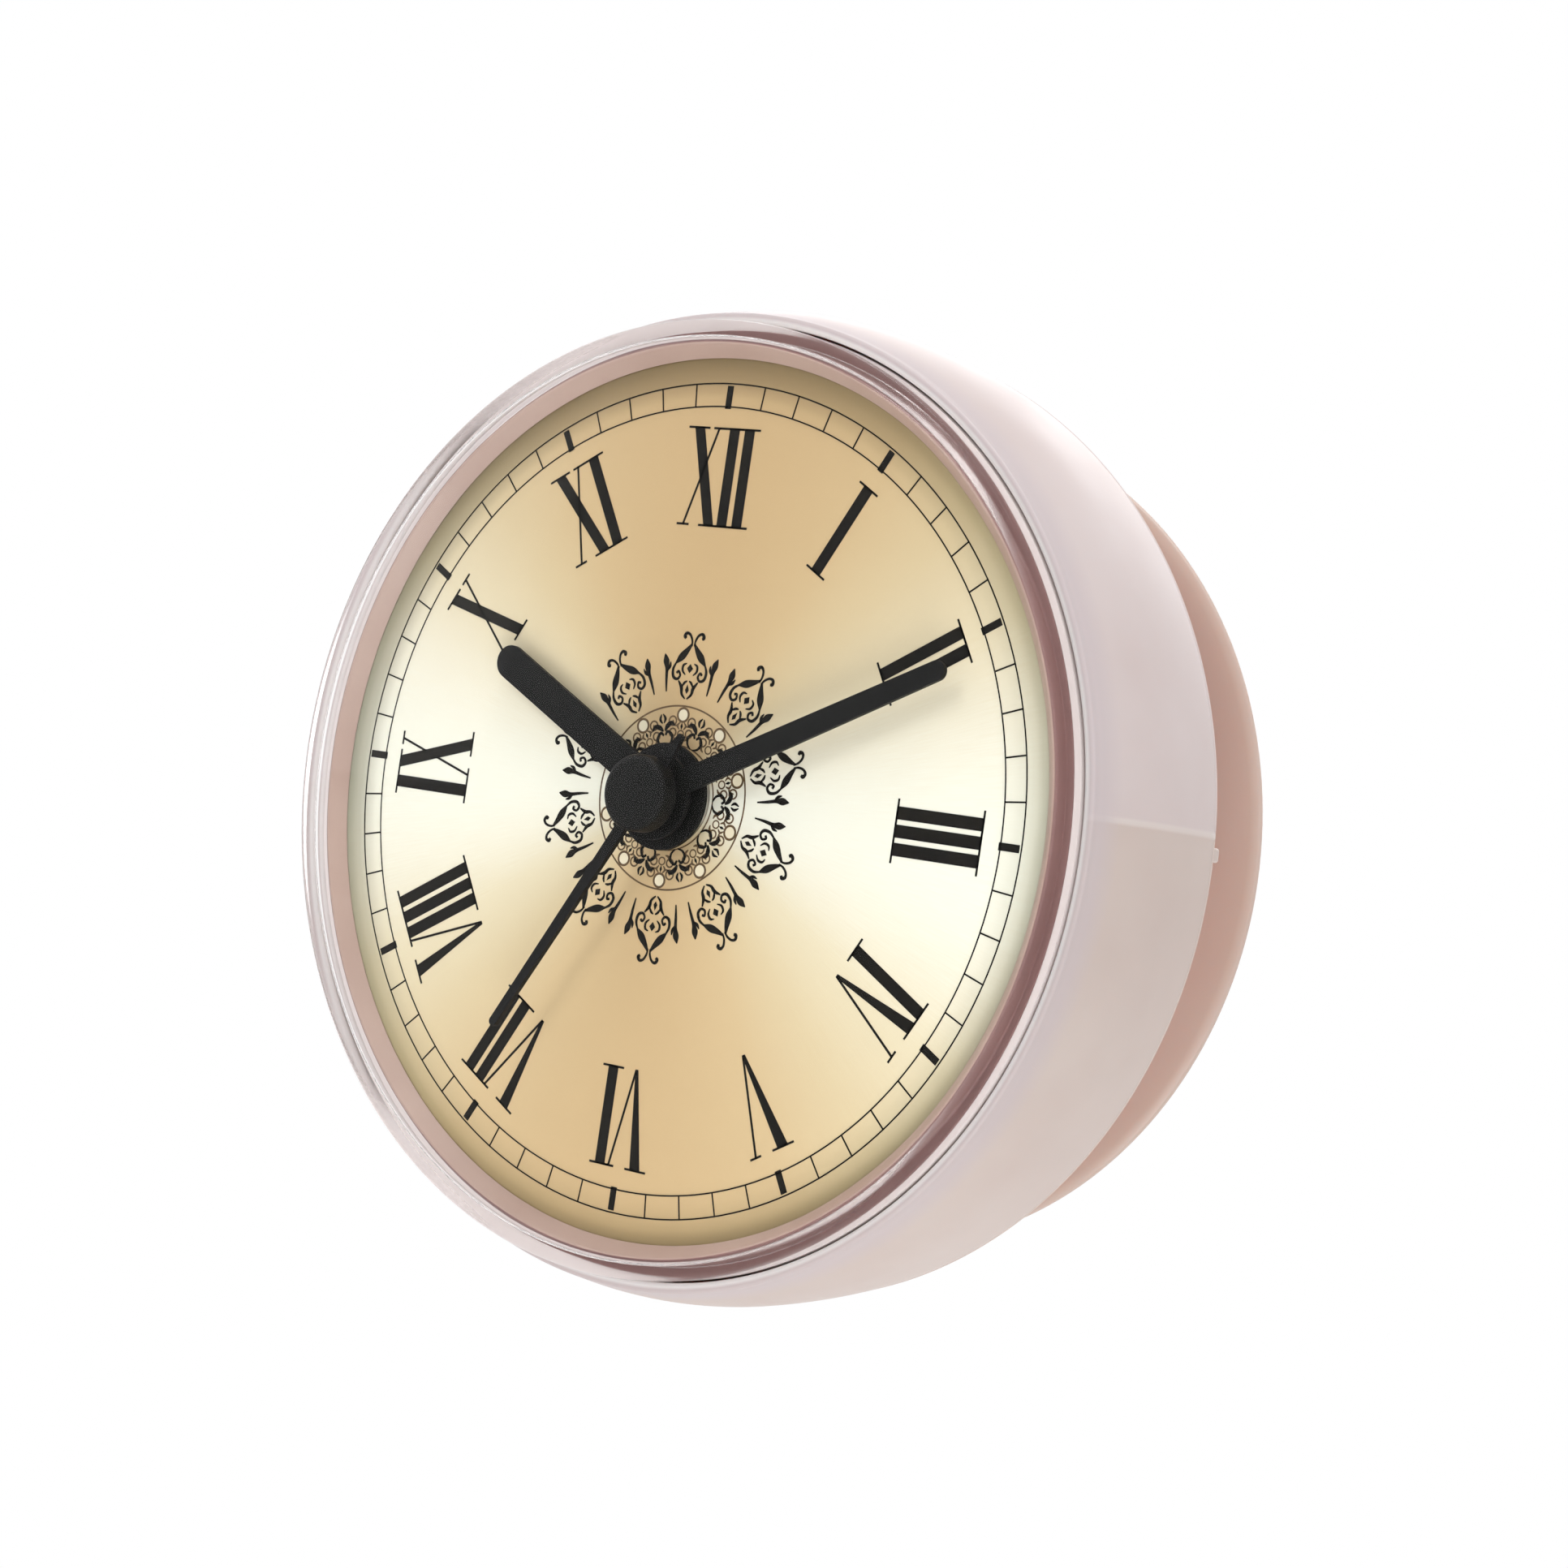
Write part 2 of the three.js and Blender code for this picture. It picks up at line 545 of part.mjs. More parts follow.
// Profile of a dome from its middle, through a rounded shoulder, to the wall at the given radius.
function dome(edge, apex, radius, corner, steps) {
  const middle = apex + radius;
  const reach = Math.sqrt((radius - corner) ** 2 - (edge - corner) ** 2);
  const tilt = THREE.MathUtils.radToDeg(Math.atan2(edge - corner, reach));
  return [
    [0, apex],
    ...arc(0, middle, radius, -90, tilt - 90, steps).slice(1),
    ...arc(edge - corner, middle - reach, corner, tilt - 90, 0, steps - 2).slice(1),
  ];
}
place(module, 'lens', turned([
  ...dome(LENS_RADIUS, LENS_FRONT, LENS_DOME_RADIUS, LENS_CORNER, 5),
  [LENS_RADIUS, SKIRT_BACK],
  [BEAD_BORE, SKIRT_BACK],
  [BEAD_BORE, SKIRT_BACK - SKIRT_BEAD_LENGTH],
  [SKIRT_BORE, SKIRT_BACK - SKIRT_BEAD_LENGTH - SEAT_GAP],
  [SKIRT_BORE, LENS_FOOT_Y],
  [LENS_BORE, LENS_FOOT_Y],
  ...dome(LENS_BORE, WINDOW_BACK, LENS_DOME_RADIUS - LENS_WALL, LENS_INNER_CORNER, 3).reverse(),
], WIDE_SIDES), CLEAR);

place(module, 'lens_gasket', turned([
  [RING_RADIUS - RING_EDGE, RING_FRONT],
  [RING_RADIUS, RING_FRONT],
  [RING_RADIUS, LENS_FOOT_Y + SEAT_GAP],
  [FLANGE_RADIUS, LENS_FOOT_Y + SEAT_GAP],
  [FLANGE_RADIUS, CASE_FRONT - SEAT_GAP / 2],
  [GASKET_BORE, CASE_FRONT - SEAT_GAP / 2],
  [GASKET_BORE, DIAL_FRONT - SEAT_GAP / 2],
  [RING_BORE, DIAL_FRONT - SEAT_GAP / 2],
], RING_SIDES), SEAL_MAUVE);

place(module, 'dial', tube(BUSH_HOLE, DIAL_RADIUS, DIAL_FRONT, DIAL_BACK, RING_SIDES), DIAL_GOLD);

// Case: cup behind the dial with the clip flange, the cell's well and the screw posts.
const sealSeat = SEAL_FRONT - SEAT_GAP;
const caseCup = turned([
  [BUSH_HOLE, CASE_FRONT],
  [FLANGE_RADIUS, CASE_FRONT],
  [FLANGE_RADIUS, FLANGE_BACK],
  [CASE_RADIUS, FLANGE_BACK],
  [CASE_RADIUS, CASE_BACK],
  [COVER_BORE, CASE_BACK],
  [COVER_BORE, sealSeat],
  [CASE_BORE, sealSeat],
  [CASE_BORE, CASE_FLOOR],
  [BUSH_HOLE, CASE_FLOOR],
], RING_SIDES);
const doorSkirtFront = COVER_FRONT - SEAT_GAP - DOOR_LUG_THICK;
const cellBack = COVER_FRONT - 2 * SEAT_GAP;
const cellFront = cellBack - CELL_LENGTH;
const padBack = cellFront - SEAT_GAP;
const padFront = padBack - CONTACT_THICK;
const wellBack = doorSkirtFront - SEAT_GAP;
const sink = PLATE_THICK / 4; // depth by which fused features reach into the wall that carries them
const well = tube(WELL_BORE, WELL_RADIUS, CASE_FLOOR - sink, wellBack, MIDDLE_SIDES, CELL_AXIS);
const padSeat = disc(CONTACT_WIDTH / 2, CASE_FLOOR - sink, padFront - SEAT_GAP / 2, SMALL_SIDES, CELL_AXIS);
const wellSlot = block(
  -CONTACT_WIDTH / 2 - SEAT_GAP, CONTACT_WIDTH / 2 + SEAT_GAP, CASE_FLOOR, wellBack + sink,
  CELL_AXIS.y, CELL_AXIS.y + WELL_RADIUS + sink,
).subtract(padSeat);
const screwAxes = [];
for (let i = 0; i < COVER_SCREWS; i += 1) {
  screwAxes.push(polar(SCREW_CIRCLE, SCREW_BEARING + (360 * i) / COVER_SCREWS));
}
let caseBody = joined(caseCup, well.subtract(wellSlot), padSeat);
screwAxes.forEach((axis) => {
  const post = disc(POST_RADIUS, CASE_FLOOR - sink, POST_BACK, SMALL_SIDES, axis);
  const tapped = disc(
    SCREW_SHANK_RADIUS + PIVOT_GAP, POST_BACK - SCREW_LENGTH - SEAT_GAP, POST_BACK + sink, SMALL_SIDES, axis,
  );
  caseBody = caseBody.add(post).subtract(tapped);
});
place(module, 'module_case', caseBody, CASE_PINK);

place(module, 'cover_seal', tube(
  CASE_BORE + SEAT_GAP, COVER_RADIUS, SEAL_FRONT, COVER_FRONT - SEAT_GAP, RING_SIDES,
), SEAL_MAUVE);

// Rear cover with the cell's hatch, the knob's hole and the screw holes.
const hatchRadius = DOOR_RADIUS + SEAT_GAP;
function lugOutline(reach, spread, turn) {
  const shape = new THREE.Shape();
  const from = DOOR_RADIUS - DOOR_SKIRT / 2;
  const half = spread / 2;
  const corners = [
    polar(from, turn - half), polar(reach, turn - half), polar(reach, turn),
    polar(reach, turn + half), polar(from, turn + half),
  ];
  corners.forEach((corner, k) => {
    corner.add(CELL_AXIS);
    if (k === 0) shape.moveTo(corner.x, corner.y);
    else shape.lineTo(corner.x, corner.y);
  });
  return shape;
}
let coverBody = disc(COVER_RADIUS, COVER_FRONT, CASE_BACK, RING_SIDES)
  .subtract(disc(hatchRadius, COVER_FRONT - sink, CASE_BACK + sink, MIDDLE_SIDES, CELL_AXIS))
  .subtract(disc(KNOB_HOLE, COVER_FRONT - sink, CASE_BACK + sink, MIDDLE_SIDES, MOTION_AXIS));
[0, 180].forEach((side) => {
  const notch = lugOutline(NOTCH_REACH, DOOR_LUG_ANGLE + 6, side - DOOR_OPEN_ANGLE);
  coverBody = coverBody.subtract(plate(notch, COVER_FRONT - sink, CASE_BACK + sink));
});
screwAxes.forEach((axis) => {
  const hole = disc(SCREW_SHANK_RADIUS + SEAT_GAP, COVER_FRONT - sink, CASE_BACK + sink, SMALL_SIDES, axis);
  const seatDepth = CASE_BACK - SCREW_HEAD_HEIGHT - PIVOT_GAP;
  const seat = disc(SCREW_HEAD_RADIUS + SEAT_GAP, seatDepth, CASE_BACK + sink, SMALL_SIDES, axis);
  coverBody = coverBody.subtract(hole).subtract(seat);
});
place(module, 'module_cover', coverBody, CASE_PINK);

screwAxes.forEach((axis, i) => {
  const headFront = CASE_BACK - SCREW_HEAD_HEIGHT;
  const end = POST_BACK - SCREW_LENGTH;
  const screw = turned([
    [0, end], [SCREW_SHANK_RADIUS, end], [SCREW_SHANK_RADIUS, headFront], [SCREW_HEAD_RADIUS, headFront],
    [SCREW_HEAD_RADIUS, CASE_BACK], [0, CASE_BACK],
  ], SMALL_SIDES, axis);
  const slotReach = SCREW_HEAD_RADIUS + sink;
  const slot = block(
    axis.x - slotReach, axis.x + slotReach, CASE_BACK - SCREW_SLOT_DEPTH, CASE_BACK + sink,
    axis.y - SCREW_SLOT_WIDTH / 2, axis.y + SCREW_SLOT_WIDTH / 2,
  );
  place(module, `cover_screw_${i + 1}`, screw.subtract(slot), STEEL);
});

// Cell hatch: a coin-slotted disc whose two lugs turn behind the cover.
const doorFace = turned([
  [0, COVER_FRONT], [DOOR_SKIRT_BORE, COVER_FRONT], [DOOR_SKIRT_BORE, doorSkirtFront],
  [DOOR_RADIUS, doorSkirtFront], [DOOR_RADIUS, CASE_BACK], [0, CASE_BACK],
], MIDDLE_SIDES, CELL_AXIS);
const coinSlot = block(
  CELL_AXIS.x - COIN_SLOT_LENGTH / 2, CELL_AXIS.x + COIN_SLOT_LENGTH / 2,
  CASE_BACK - COIN_SLOT_DEPTH, CASE_BACK + sink,
  CELL_AXIS.y - COIN_SLOT_WIDTH / 2, CELL_AXIS.y + COIN_SLOT_WIDTH / 2,
);
const lugs = [0, 180].map((side) => plate(
  lugOutline(LUG_REACH, DOOR_LUG_ANGLE, side), doorSkirtFront, doorSkirtFront + DOOR_LUG_THICK,
));
place(module, 'battery_door', joined(doorFace, ...lugs).subtract(coinSlot), CASE_PINK);

// Button cell and its two contacts.
place(module, 'battery_cell', turned([
  [0, cellFront], [CELL_CAP_RADIUS, cellFront], [CELL_CAP_RADIUS, cellFront + CELL_CAP_HEIGHT],
  [CELL_RADIUS, cellFront + CELL_CAP_HEIGHT + CELL_SHOULDER], [CELL_RADIUS, cellBack], [0, cellBack],
], MIDDLE_SIDES, CELL_AXIS), STEEL);
const tailTop = MOVEMENT_LOW - SEAT_GAP;
place(module, 'contact_negative', joined(
  disc(CONTACT_WIDTH / 2, padFront, padBack, SMALL_SIDES, CELL_AXIS),
  block(-CONTACT_WIDTH / 4, CONTACT_WIDTH / 4, padFront, padBack, CELL_AXIS.y, tailTop),
), BRASS);
const leafLow = CELL_AXIS.y + CELL_RADIUS + SEAT_GAP;
const leafBack = cellBack - 2 * SEAT_GAP;
place(module, 'contact_positive', joined(
  block(-CONTACT_WIDTH / 2, CONTACT_WIDTH / 2, leafBack - CONTACT_LEAF, leafBack, leafLow, leafLow + CONTACT_THICK),
  block(-CONTACT_WIDTH / 4, CONTACT_WIDTH / 4, leafBack - CONTACT_THICK, leafBack, leafLow, tailTop),
), BRASS);

// Movement housing: front plate with the bush that carries the hands, and the cup-shaped bridge behind.
const pivots = [THIRD_AXIS, FIFTH_AXIS, ROTOR_AXIS, MOTION_AXIS];
const plateOutline = roundedBox(
  -MOVEMENT_HALF_WIDTH, MOVEMENT_HALF_WIDTH, MOVEMENT_LOW, MOVEMENT_TOP, MOVEMENT_CORNER,
);
plateOutline.holes.push(roundHole(BUSH_BORE, CENTRE_AXIS));
pivots.forEach((axis) => plateOutline.holes.push(roundHole(PIVOT_RADIUS + PIVOT_GAP, axis, 10)));
const bushFront = HOUR_BACK + SEAT_GAP;
place(module, 'movement_plate', joined(
  plate(plateOutline, PLATE_FRONT, PLATE_BACK),
  tube(BUSH_BORE, BUSH_RADIUS, bushFront, PLATE_BACK - sink, SMALL_SIDES),
), NATURAL);

const bridgeOutline = roundedBox(
  -MOVEMENT_HALF_WIDTH, MOVEMENT_HALF_WIDTH, MOVEMENT_LOW, MOVEMENT_TOP, MOVEMENT_CORNER,
);
const bridgeHollow = roundedBox(
  -MOVEMENT_HALF_WIDTH + MOVEMENT_WALL, MOVEMENT_HALF_WIDTH - MOVEMENT_WALL,
  MOVEMENT_LOW + MOVEMENT_WALL, MOVEMENT_TOP - MOVEMENT_WALL, MOVEMENT_CORNER - MOVEMENT_WALL,
);
bridgeOutline.holes.push(roundHole(PIVOT_RADIUS + PIVOT_GAP, CENTRE_AXIS, 10));
bridgeOutline.holes.push(roundHole(KNOB_ARBOR + PIVOT_GAP, MOTION_AXIS, 12));
[THIRD_AXIS, FIFTH_AXIS, ROTOR_AXIS].forEach((axis) => {
  bridgeOutline.holes.push(roundHole(PIVOT_RADIUS + PIVOT_GAP, axis, 10));
});
place(module, 'movement_bridge', plate(bridgeOutline, PLATE_BACK + SEAT_GAP, BRIDGE_BACK)
  .subtract(plate(bridgeHollow, PLATE_BACK, BRIDGE_FRONT)), NATURAL);

// Gear train, each wheel turned so that its teeth stand in its neighbour's gaps.
const secondPhase = 0;
const thirdPhase = meshed(LEAVES, secondPhase, CENTRE_AXIS, THIRD_TEETH, THIRD_AXIS);
const centrePhase = meshed(LEAVES, thirdPhase, THIRD_AXIS, CENTRE_TEETH, CENTRE_AXIS);
const motionPhase = meshed(CANNON_LEAVES, centrePhase, CENTRE_AXIS, MOTION_TEETH, MOTION_AXIS);
const hourPhase = meshed(MOTION_LEAVES, motionPhase, MOTION_AXIS, HOUR_TEETH, CENTRE_AXIS);
const fifthPhase = meshed(SECOND_TEETH, secondPhase, CENTRE_AXIS, LEAVES, FIFTH_AXIS);
const rotorPhase = meshed(FIFTH_TEETH, fifthPhase, FIFTH_AXIS, LEAVES, ROTOR_AXIS);

const secondTop = SECOND_BACK - ARBOR_REACH;
const secondEnd = BRIDGE_FRONT - PIVOT_GAP;
place(module, 'second_wheel', joined(
  turned([
    [0, secondTop], [SECOND_ARBOR, secondTop], [SECOND_ARBOR, secondEnd], [PIVOT_RADIUS, secondEnd],
    [PIVOT_RADIUS, secondEnd + PLATE_THICK / 2], [0, secondEnd + PLATE_THICK / 2],
  ], 12),
  gear(LEAVES, THIRD_MODULE, secondPhase, THIRD_LAYER, CENTRE_AXIS, LEAF_TOOTH),
  gear(SECOND_TEETH, SECOND_MODULE, secondPhase, SECOND_LAYER, CENTRE_AXIS),
), NATURAL);
const centreBore = disc(MINUTE_PIPE_BORE, MINUTE_FRONT - sink, CENTRE_LAYER + WHEEL_STEP, 12);
place(module, 'centre_wheel', joined(
  disc(MINUTE_PIPE, MINUTE_FRONT, CENTRE_LAYER + WHEEL_THICK / 2, SMALL_SIDES),
  gear(CANNON_LEAVES, MOTION_MODULE, centrePhase, MOTION_LAYER, CENTRE_AXIS, LEAF_TOOTH),
  gear(CENTRE_TEETH, CENTRE_MODULE, centrePhase, CENTRE_LAYER, CENTRE_AXIS),
  tube(MINUTE_PIPE_BORE, MINUTE_PIPE, MOTION_LAYER, CENTRE_LAYER + WHEEL_THICK / 2, SMALL_SIDES),
).subtract(centreBore), NATURAL);
const hourBore = disc(HOUR_PIPE_BORE, HOUR_FRONT - sink, HOUR_LAYER + WHEEL_STEP, SMALL_SIDES);
place(module, 'hour_wheel', joined(
  disc(HOUR_PIPE, HOUR_FRONT, HOUR_LAYER + WHEEL_THICK / 2, SMALL_SIDES),
  gear(HOUR_TEETH, HOUR_MODULE, hourPhase, HOUR_LAYER, CENTRE_AXIS),
).subtract(hourBore), NATURAL);
place(module, 'third_wheel', joined(
  sideArbor(THIRD_AXIS),
  gear(THIRD_TEETH, THIRD_MODULE, thirdPhase, THIRD_LAYER, THIRD_AXIS),
  gear(LEAVES, CENTRE_MODULE, thirdPhase, CENTRE_LAYER, THIRD_AXIS, LEAF_TOOTH),
), NATURAL);
place(module, 'fifth_wheel', joined(
  sideArbor(FIFTH_AXIS),
  gear(LEAVES, SECOND_MODULE, fifthPhase, SECOND_LAYER, FIFTH_AXIS, LEAF_TOOTH),
  gear(FIFTH_TEETH, FIFTH_MODULE, fifthPhase, FIFTH_LAYER, FIFTH_AXIS),
), NATURAL);

const magnetFront = MOTION_LAYER - SEAT_GAP;
place(module, 'rotor', joined(
  sideArbor(ROTOR_AXIS),
  disc(MAGNET_RADIUS, magnetFront, magnetFront + MAGNET_LENGTH, SMALL_SIDES, ROTOR_AXIS),
  gear(LEAVES, FIFTH_MODULE, rotorPhase, FIFTH_LAYER, ROTOR_AXIS, LEAF_TOOTH),
), MAGNET);

// Motion work: the wheel between the minute and hour pipes, on the arbor that ends in the setting knob.
const knobBack = CASE_BACK - KNOB_SINK;
const knobFront = knobBack - KNOB_THICK;
const arborFront = PLATE_BACK + PIVOT_GAP;
const arborEnd = knobFront + KNOB_THICK / 2;
place(module, 'motion_wheel', joined(
  turned([
    [0, arborFront - PLATE_THICK / 2], [PIVOT_RADIUS, arborFront - PLATE_THICK / 2],
    [PIVOT_RADIUS, arborFront], [KNOB_ARBOR, arborFront], [KNOB_ARBOR, arborEnd], [0, arborEnd],
  ], 12, MOTION_AXIS),
  gear(MOTION_LEAVES, HOUR_MODULE, motionPhase, HOUR_LAYER, MOTION_AXIS, LEAF_TOOTH),
  gear(MOTION_TEETH, MOTION_MODULE, motionPhase, MOTION_LAYER, MOTION_AXIS),
), NATURAL);
const knobOutline = new THREE.Shape();
for (let i = 0; i < KNOB_RIDGES * 4; i += 1) {
  const radius = KNOB_RADIUS + (i % 4 < 2 ? KNOB_RIDGE : 0);
  const point = polar(radius, (i * 90) / KNOB_RIDGES).add(MOTION_AXIS);
  if (i === 0) knobOutline.moveTo(point.x, point.y);
  else knobOutline.lineTo(point.x, point.y);
}
place(module, 'setting_knob', plate(knobOutline, knobFront, knobBack)
  .subtract(disc(KNOB_ARBOR + PRESS_GAP, knobFront - sink, arborEnd + PRESS_GAP, 12, MOTION_AXIS)), NATURAL);

// Stepping motor: stator plate round the rotor, and the coil on its core.
const statorFront = magnetFront + (MAGNET_LENGTH - STATOR_THICK) / 2;
const statorBack = statorFront + STATOR_THICK;
const statorOutline = new THREE.Shape();
statorOutline.moveTo(STATOR_LEFT, STATOR_LOW);
statorOutline.lineTo(STATOR_RIGHT, STATOR_LOW);
statorOutline.lineTo(STATOR_RIGHT, STATOR_HIGH);
statorOutline.lineTo(STATOR_LEFT, STATOR_HIGH);
statorOutline.lineTo(STATOR_LEFT, STATOR_WINDOW);
statorOutline.lineTo(STATOR_RIGHT - STATOR_LEG, STATOR_WINDOW);
statorOutline.lineTo(STATOR_RIGHT - STATOR_LEG, STATOR_FORK);
statorOutline.lineTo(STATOR_LEFT, STATOR_FORK);
statorOutline.closePath();
statorOutline.holes.push(roundHole(ROTOR_HOLE, ROTOR_AXIS, SMALL_SIDES));
place(module, 'stator', plate(statorOutline, statorFront, statorBack), STEEL);

const coilX = STATOR_LEFT + COIL_RADIUS + SEAT_GAP;
const coilY = (statorFront + statorBack) / 2;
const coilMiddle = (STATOR_FORK + STATOR_WINDOW) / 2;
const coilSpan = (STATOR_WINDOW - STATOR_FORK) / 2 - SEAT_GAP;
const lugFront = statorBack + PIVOT_GAP;
place(module, 'coil_core', joined(
  block(coilX - CORE_WIDTH / 2, coilX + CORE_WIDTH / 2, coilY - CORE_WIDTH / 2, lugFront + STATOR_THICK,
    coilMiddle - coilSpan, coilMiddle - COIL_LENGTH / 2 - SEAT_GAP),
  block(coilX - CORE_WIDTH / 2, coilX + CORE_WIDTH / 2, coilY - CORE_WIDTH / 2, lugFront + STATOR_THICK,
    coilMiddle + COIL_LENGTH / 2 + SEAT_GAP, coilMiddle + coilSpan),
  block(coilX - CORE_WIDTH / 2, coilX + CORE_WIDTH / 2, coilY - CORE_WIDTH / 2, coilY + CORE_WIDTH / 2,
    coilMiddle - coilSpan, coilMiddle + coilSpan),
  block(coilX - CORE_WIDTH / 2, coilX + CORE_WIDTH / 2, lugFront, lugFront + STATOR_THICK,
    coilMiddle - coilSpan - CORE_LUG, coilMiddle - coilSpan + sink),
  block(coilX - CORE_WIDTH / 2, coilX + CORE_WIDTH / 2, lugFront, lugFront + STATOR_THICK,
    coilMiddle + coilSpan - sink, coilMiddle + coilSpan + CORE_LUG),
), STEEL);
const coil = new THREE.LatheGeometry([
  new THREE.Vector2(CORE_WIDTH * 0.71 + PIVOT_GAP, -COIL_LENGTH / 2),
  new THREE.Vector2(COIL_RADIUS, -COIL_LENGTH / 2),
  new THREE.Vector2(COIL_RADIUS, COIL_LENGTH / 2),
  new THREE.Vector2(CORE_WIDTH * 0.71 + PIVOT_GAP, COIL_LENGTH / 2),
  new THREE.Vector2(CORE_WIDTH * 0.71 + PIVOT_GAP, -COIL_LENGTH / 2),
], SMALL_SIDES);
coil.rotateX(Math.PI / 2);
coil.translate(coilX, coilY, coilMiddle);
place(module, 'coil_winding', solid(coil), COPPER);

// Circuit board on the bridge, with the chip and the crystal on its front.
const boardRight = MOVEMENT_HALF_WIDTH - MOVEMENT_WALL - SEAT_GAP;
const boardTop = MOVEMENT_TOP - MOVEMENT_WALL - SEAT_GAP;
const boardBack = BRIDGE_FRONT - SEAT_GAP;
const boardFront = boardBack - BOARD_THICK;
const boardLeft = boardRight - BOARD_WIDTH;
const boardOutline = roundedBox(
  boardLeft, boardRight, boardTop - BOARD_HEIGHT, boardTop, MOVEMENT_CORNER - MOVEMENT_WALL,
);
place(module, 'circuit_board', plate(boardOutline, boardFront, boardBack), BOARD_GREEN);
const chipX = boardLeft + CHIP_SIZE / 2 + SEAT_GAP;
const partZ = boardTop - BOARD_HEIGHT / 2;
const partBack = boardFront - PIVOT_GAP;
place(module, 'clock_chip', block(
  chipX - CHIP_SIZE / 2, chipX + CHIP_SIZE / 2, partBack - CHIP_HEIGHT, partBack,
  partZ - CHIP_SIZE / 2, partZ + CHIP_SIZE / 2,
), CHIP_BLACK);
const crystal = new THREE.CylinderGeometry(CRYSTAL_RADIUS, CRYSTAL_RADIUS, CRYSTAL_LENGTH, 12);
crystal.rotateX(Math.PI / 2);
crystal.translate(boardRight - CRYSTAL_RADIUS - SEAT_GAP, partBack - CRYSTAL_RADIUS, partZ);
place(module, 'quartz_crystal', solid(crystal), STEEL);

// Hands: flat blades on round hubs, turned clockwise from twelve.
function blade(rootWidth, tipWidth, tail, length, tipRound, back, angle) {
  const shape = new THREE.Shape();
  shape.moveTo(-rootWidth / 2, -tail);
  shape.lineTo(rootWidth / 2, -tail);
  shape.lineTo(tipWidth / 2, length - tipRound);
  shape.absellipse(0, length - tipRound, tipWidth / 2, tipRound, 0, Math.PI, false);
  shape.closePath();
  const geometry = new THREE.ExtrudeGeometry(shape, {
    depth: HAND_THICK, bevelEnabled: false, curveSegments: 6,
  });
  geometry.rotateX(Math.PI / 2);
  geometry.rotateY(THREE.MathUtils.degToRad(angle));
  geometry.translate(0, back, 0);
  return solid(geometry);
}
function hand(bladeBody, hubRadius, pipeRadius, back) {
  const hub = disc(hubRadius, back - HAND_THICK, back, MIDDLE_SIDES);
  const bore = disc(pipeRadius + PRESS_GAP, back - HAND_THICK - sink, back + sink, SMALL_SIDES);
  return bladeBody.add(hub).subtract(bore);
}
const hourBlade = blade(HOUR_WIDTH, HOUR_WIDTH, 0, HOUR_LENGTH, HOUR_WIDTH / 2, HOUR_BACK, HOUR_ANGLE);
place(module, 'hour_hand', hand(hourBlade, HOUR_HUB, HOUR_PIPE, HOUR_BACK), HAND_BLACK);
const minuteBlade = blade(
  MINUTE_ROOT_WIDTH, MINUTE_TIP_WIDTH, 0, MINUTE_LENGTH, MINUTE_TIP_WIDTH / 4, MINUTE_BACK, MINUTE_ANGLE,
);
place(module, 'minute_hand', hand(minuteBlade, MINUTE_HUB, MINUTE_PIPE, MINUTE_BACK), HAND_BLACK);
const secondBlade = blade(
  SECOND_WIDTH, SECOND_WIDTH * 0.7, SECOND_TAIL, SECOND_LENGTH, SECOND_WIDTH / 4, SECOND_BACK, SECOND_ANGLE,
);
const frontDisc = turned([
  [0, DISC_FRONT], [DISC_RADIUS - DISC_ROUND, DISC_FRONT], [DISC_RADIUS, DISC_FRONT + DISC_ROUND],
  [DISC_RADIUS, SECOND_BACK], [0, SECOND_BACK],
], MIDDLE_SIDES);
const discBore = disc(SECOND_ARBOR + PRESS_GAP, secondTop - PRESS_GAP, SECOND_BACK + sink, 12);
place(module, 'second_hand', secondBlade.add(frontDisc).subtract(discBore), HAND_BLACK);

export default clock;
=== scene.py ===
import json
import math

import bmesh
import bpy
from mathutils import Matrix, Vector


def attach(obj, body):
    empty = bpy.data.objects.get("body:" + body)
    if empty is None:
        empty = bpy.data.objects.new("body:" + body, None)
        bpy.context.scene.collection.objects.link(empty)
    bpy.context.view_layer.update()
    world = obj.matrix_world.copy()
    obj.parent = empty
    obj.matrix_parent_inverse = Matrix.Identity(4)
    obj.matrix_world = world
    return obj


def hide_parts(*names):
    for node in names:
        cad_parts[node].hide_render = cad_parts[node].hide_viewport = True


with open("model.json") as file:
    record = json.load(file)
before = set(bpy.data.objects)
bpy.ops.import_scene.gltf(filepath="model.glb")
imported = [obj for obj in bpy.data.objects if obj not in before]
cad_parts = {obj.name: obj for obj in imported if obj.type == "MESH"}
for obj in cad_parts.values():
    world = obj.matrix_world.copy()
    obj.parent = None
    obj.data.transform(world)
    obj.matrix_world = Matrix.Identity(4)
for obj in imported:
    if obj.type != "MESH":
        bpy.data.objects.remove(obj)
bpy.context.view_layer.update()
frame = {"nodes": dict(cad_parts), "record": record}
scene = bpy.context.scene
MM = 0.001

# Places along the clock's axis and radii, in millimetres. They are the CAD model's, apart from FROSTED,
# where the skirt turns pale, RING_BACK, close over the dial, and the shell's MOUTH_BORE and SHELL_WIDEST.
DIAL_FRONT, DIAL_BACK, DIAL_RADIUS, DIAL_HOLE = -28.0, -27.5, 30.572, 3.3
LENS_RADIUS, LENS_BORE, LENS_APEX, LENS_WALL = 32.872, 31.772, -34.9, 1.1
DOME_RADIUS, CORNER, INNER_CORNER = 150.0, 1.5, 0.8
LENS_FOOT, FROSTED, SKIRT_BACK, SKIRT_BORE, BEAD_BORE = -28.4, -28.25, -24.2, 32.172, 31.572
GASKET_BORE, GASKET_BACK = 30.872, -27.5
RING_BORE, RING_RADIUS, RING_FRONT, RING_BACK, RING_EDGE = 30.452, 31.572, -29.1, -28.02, 0.25
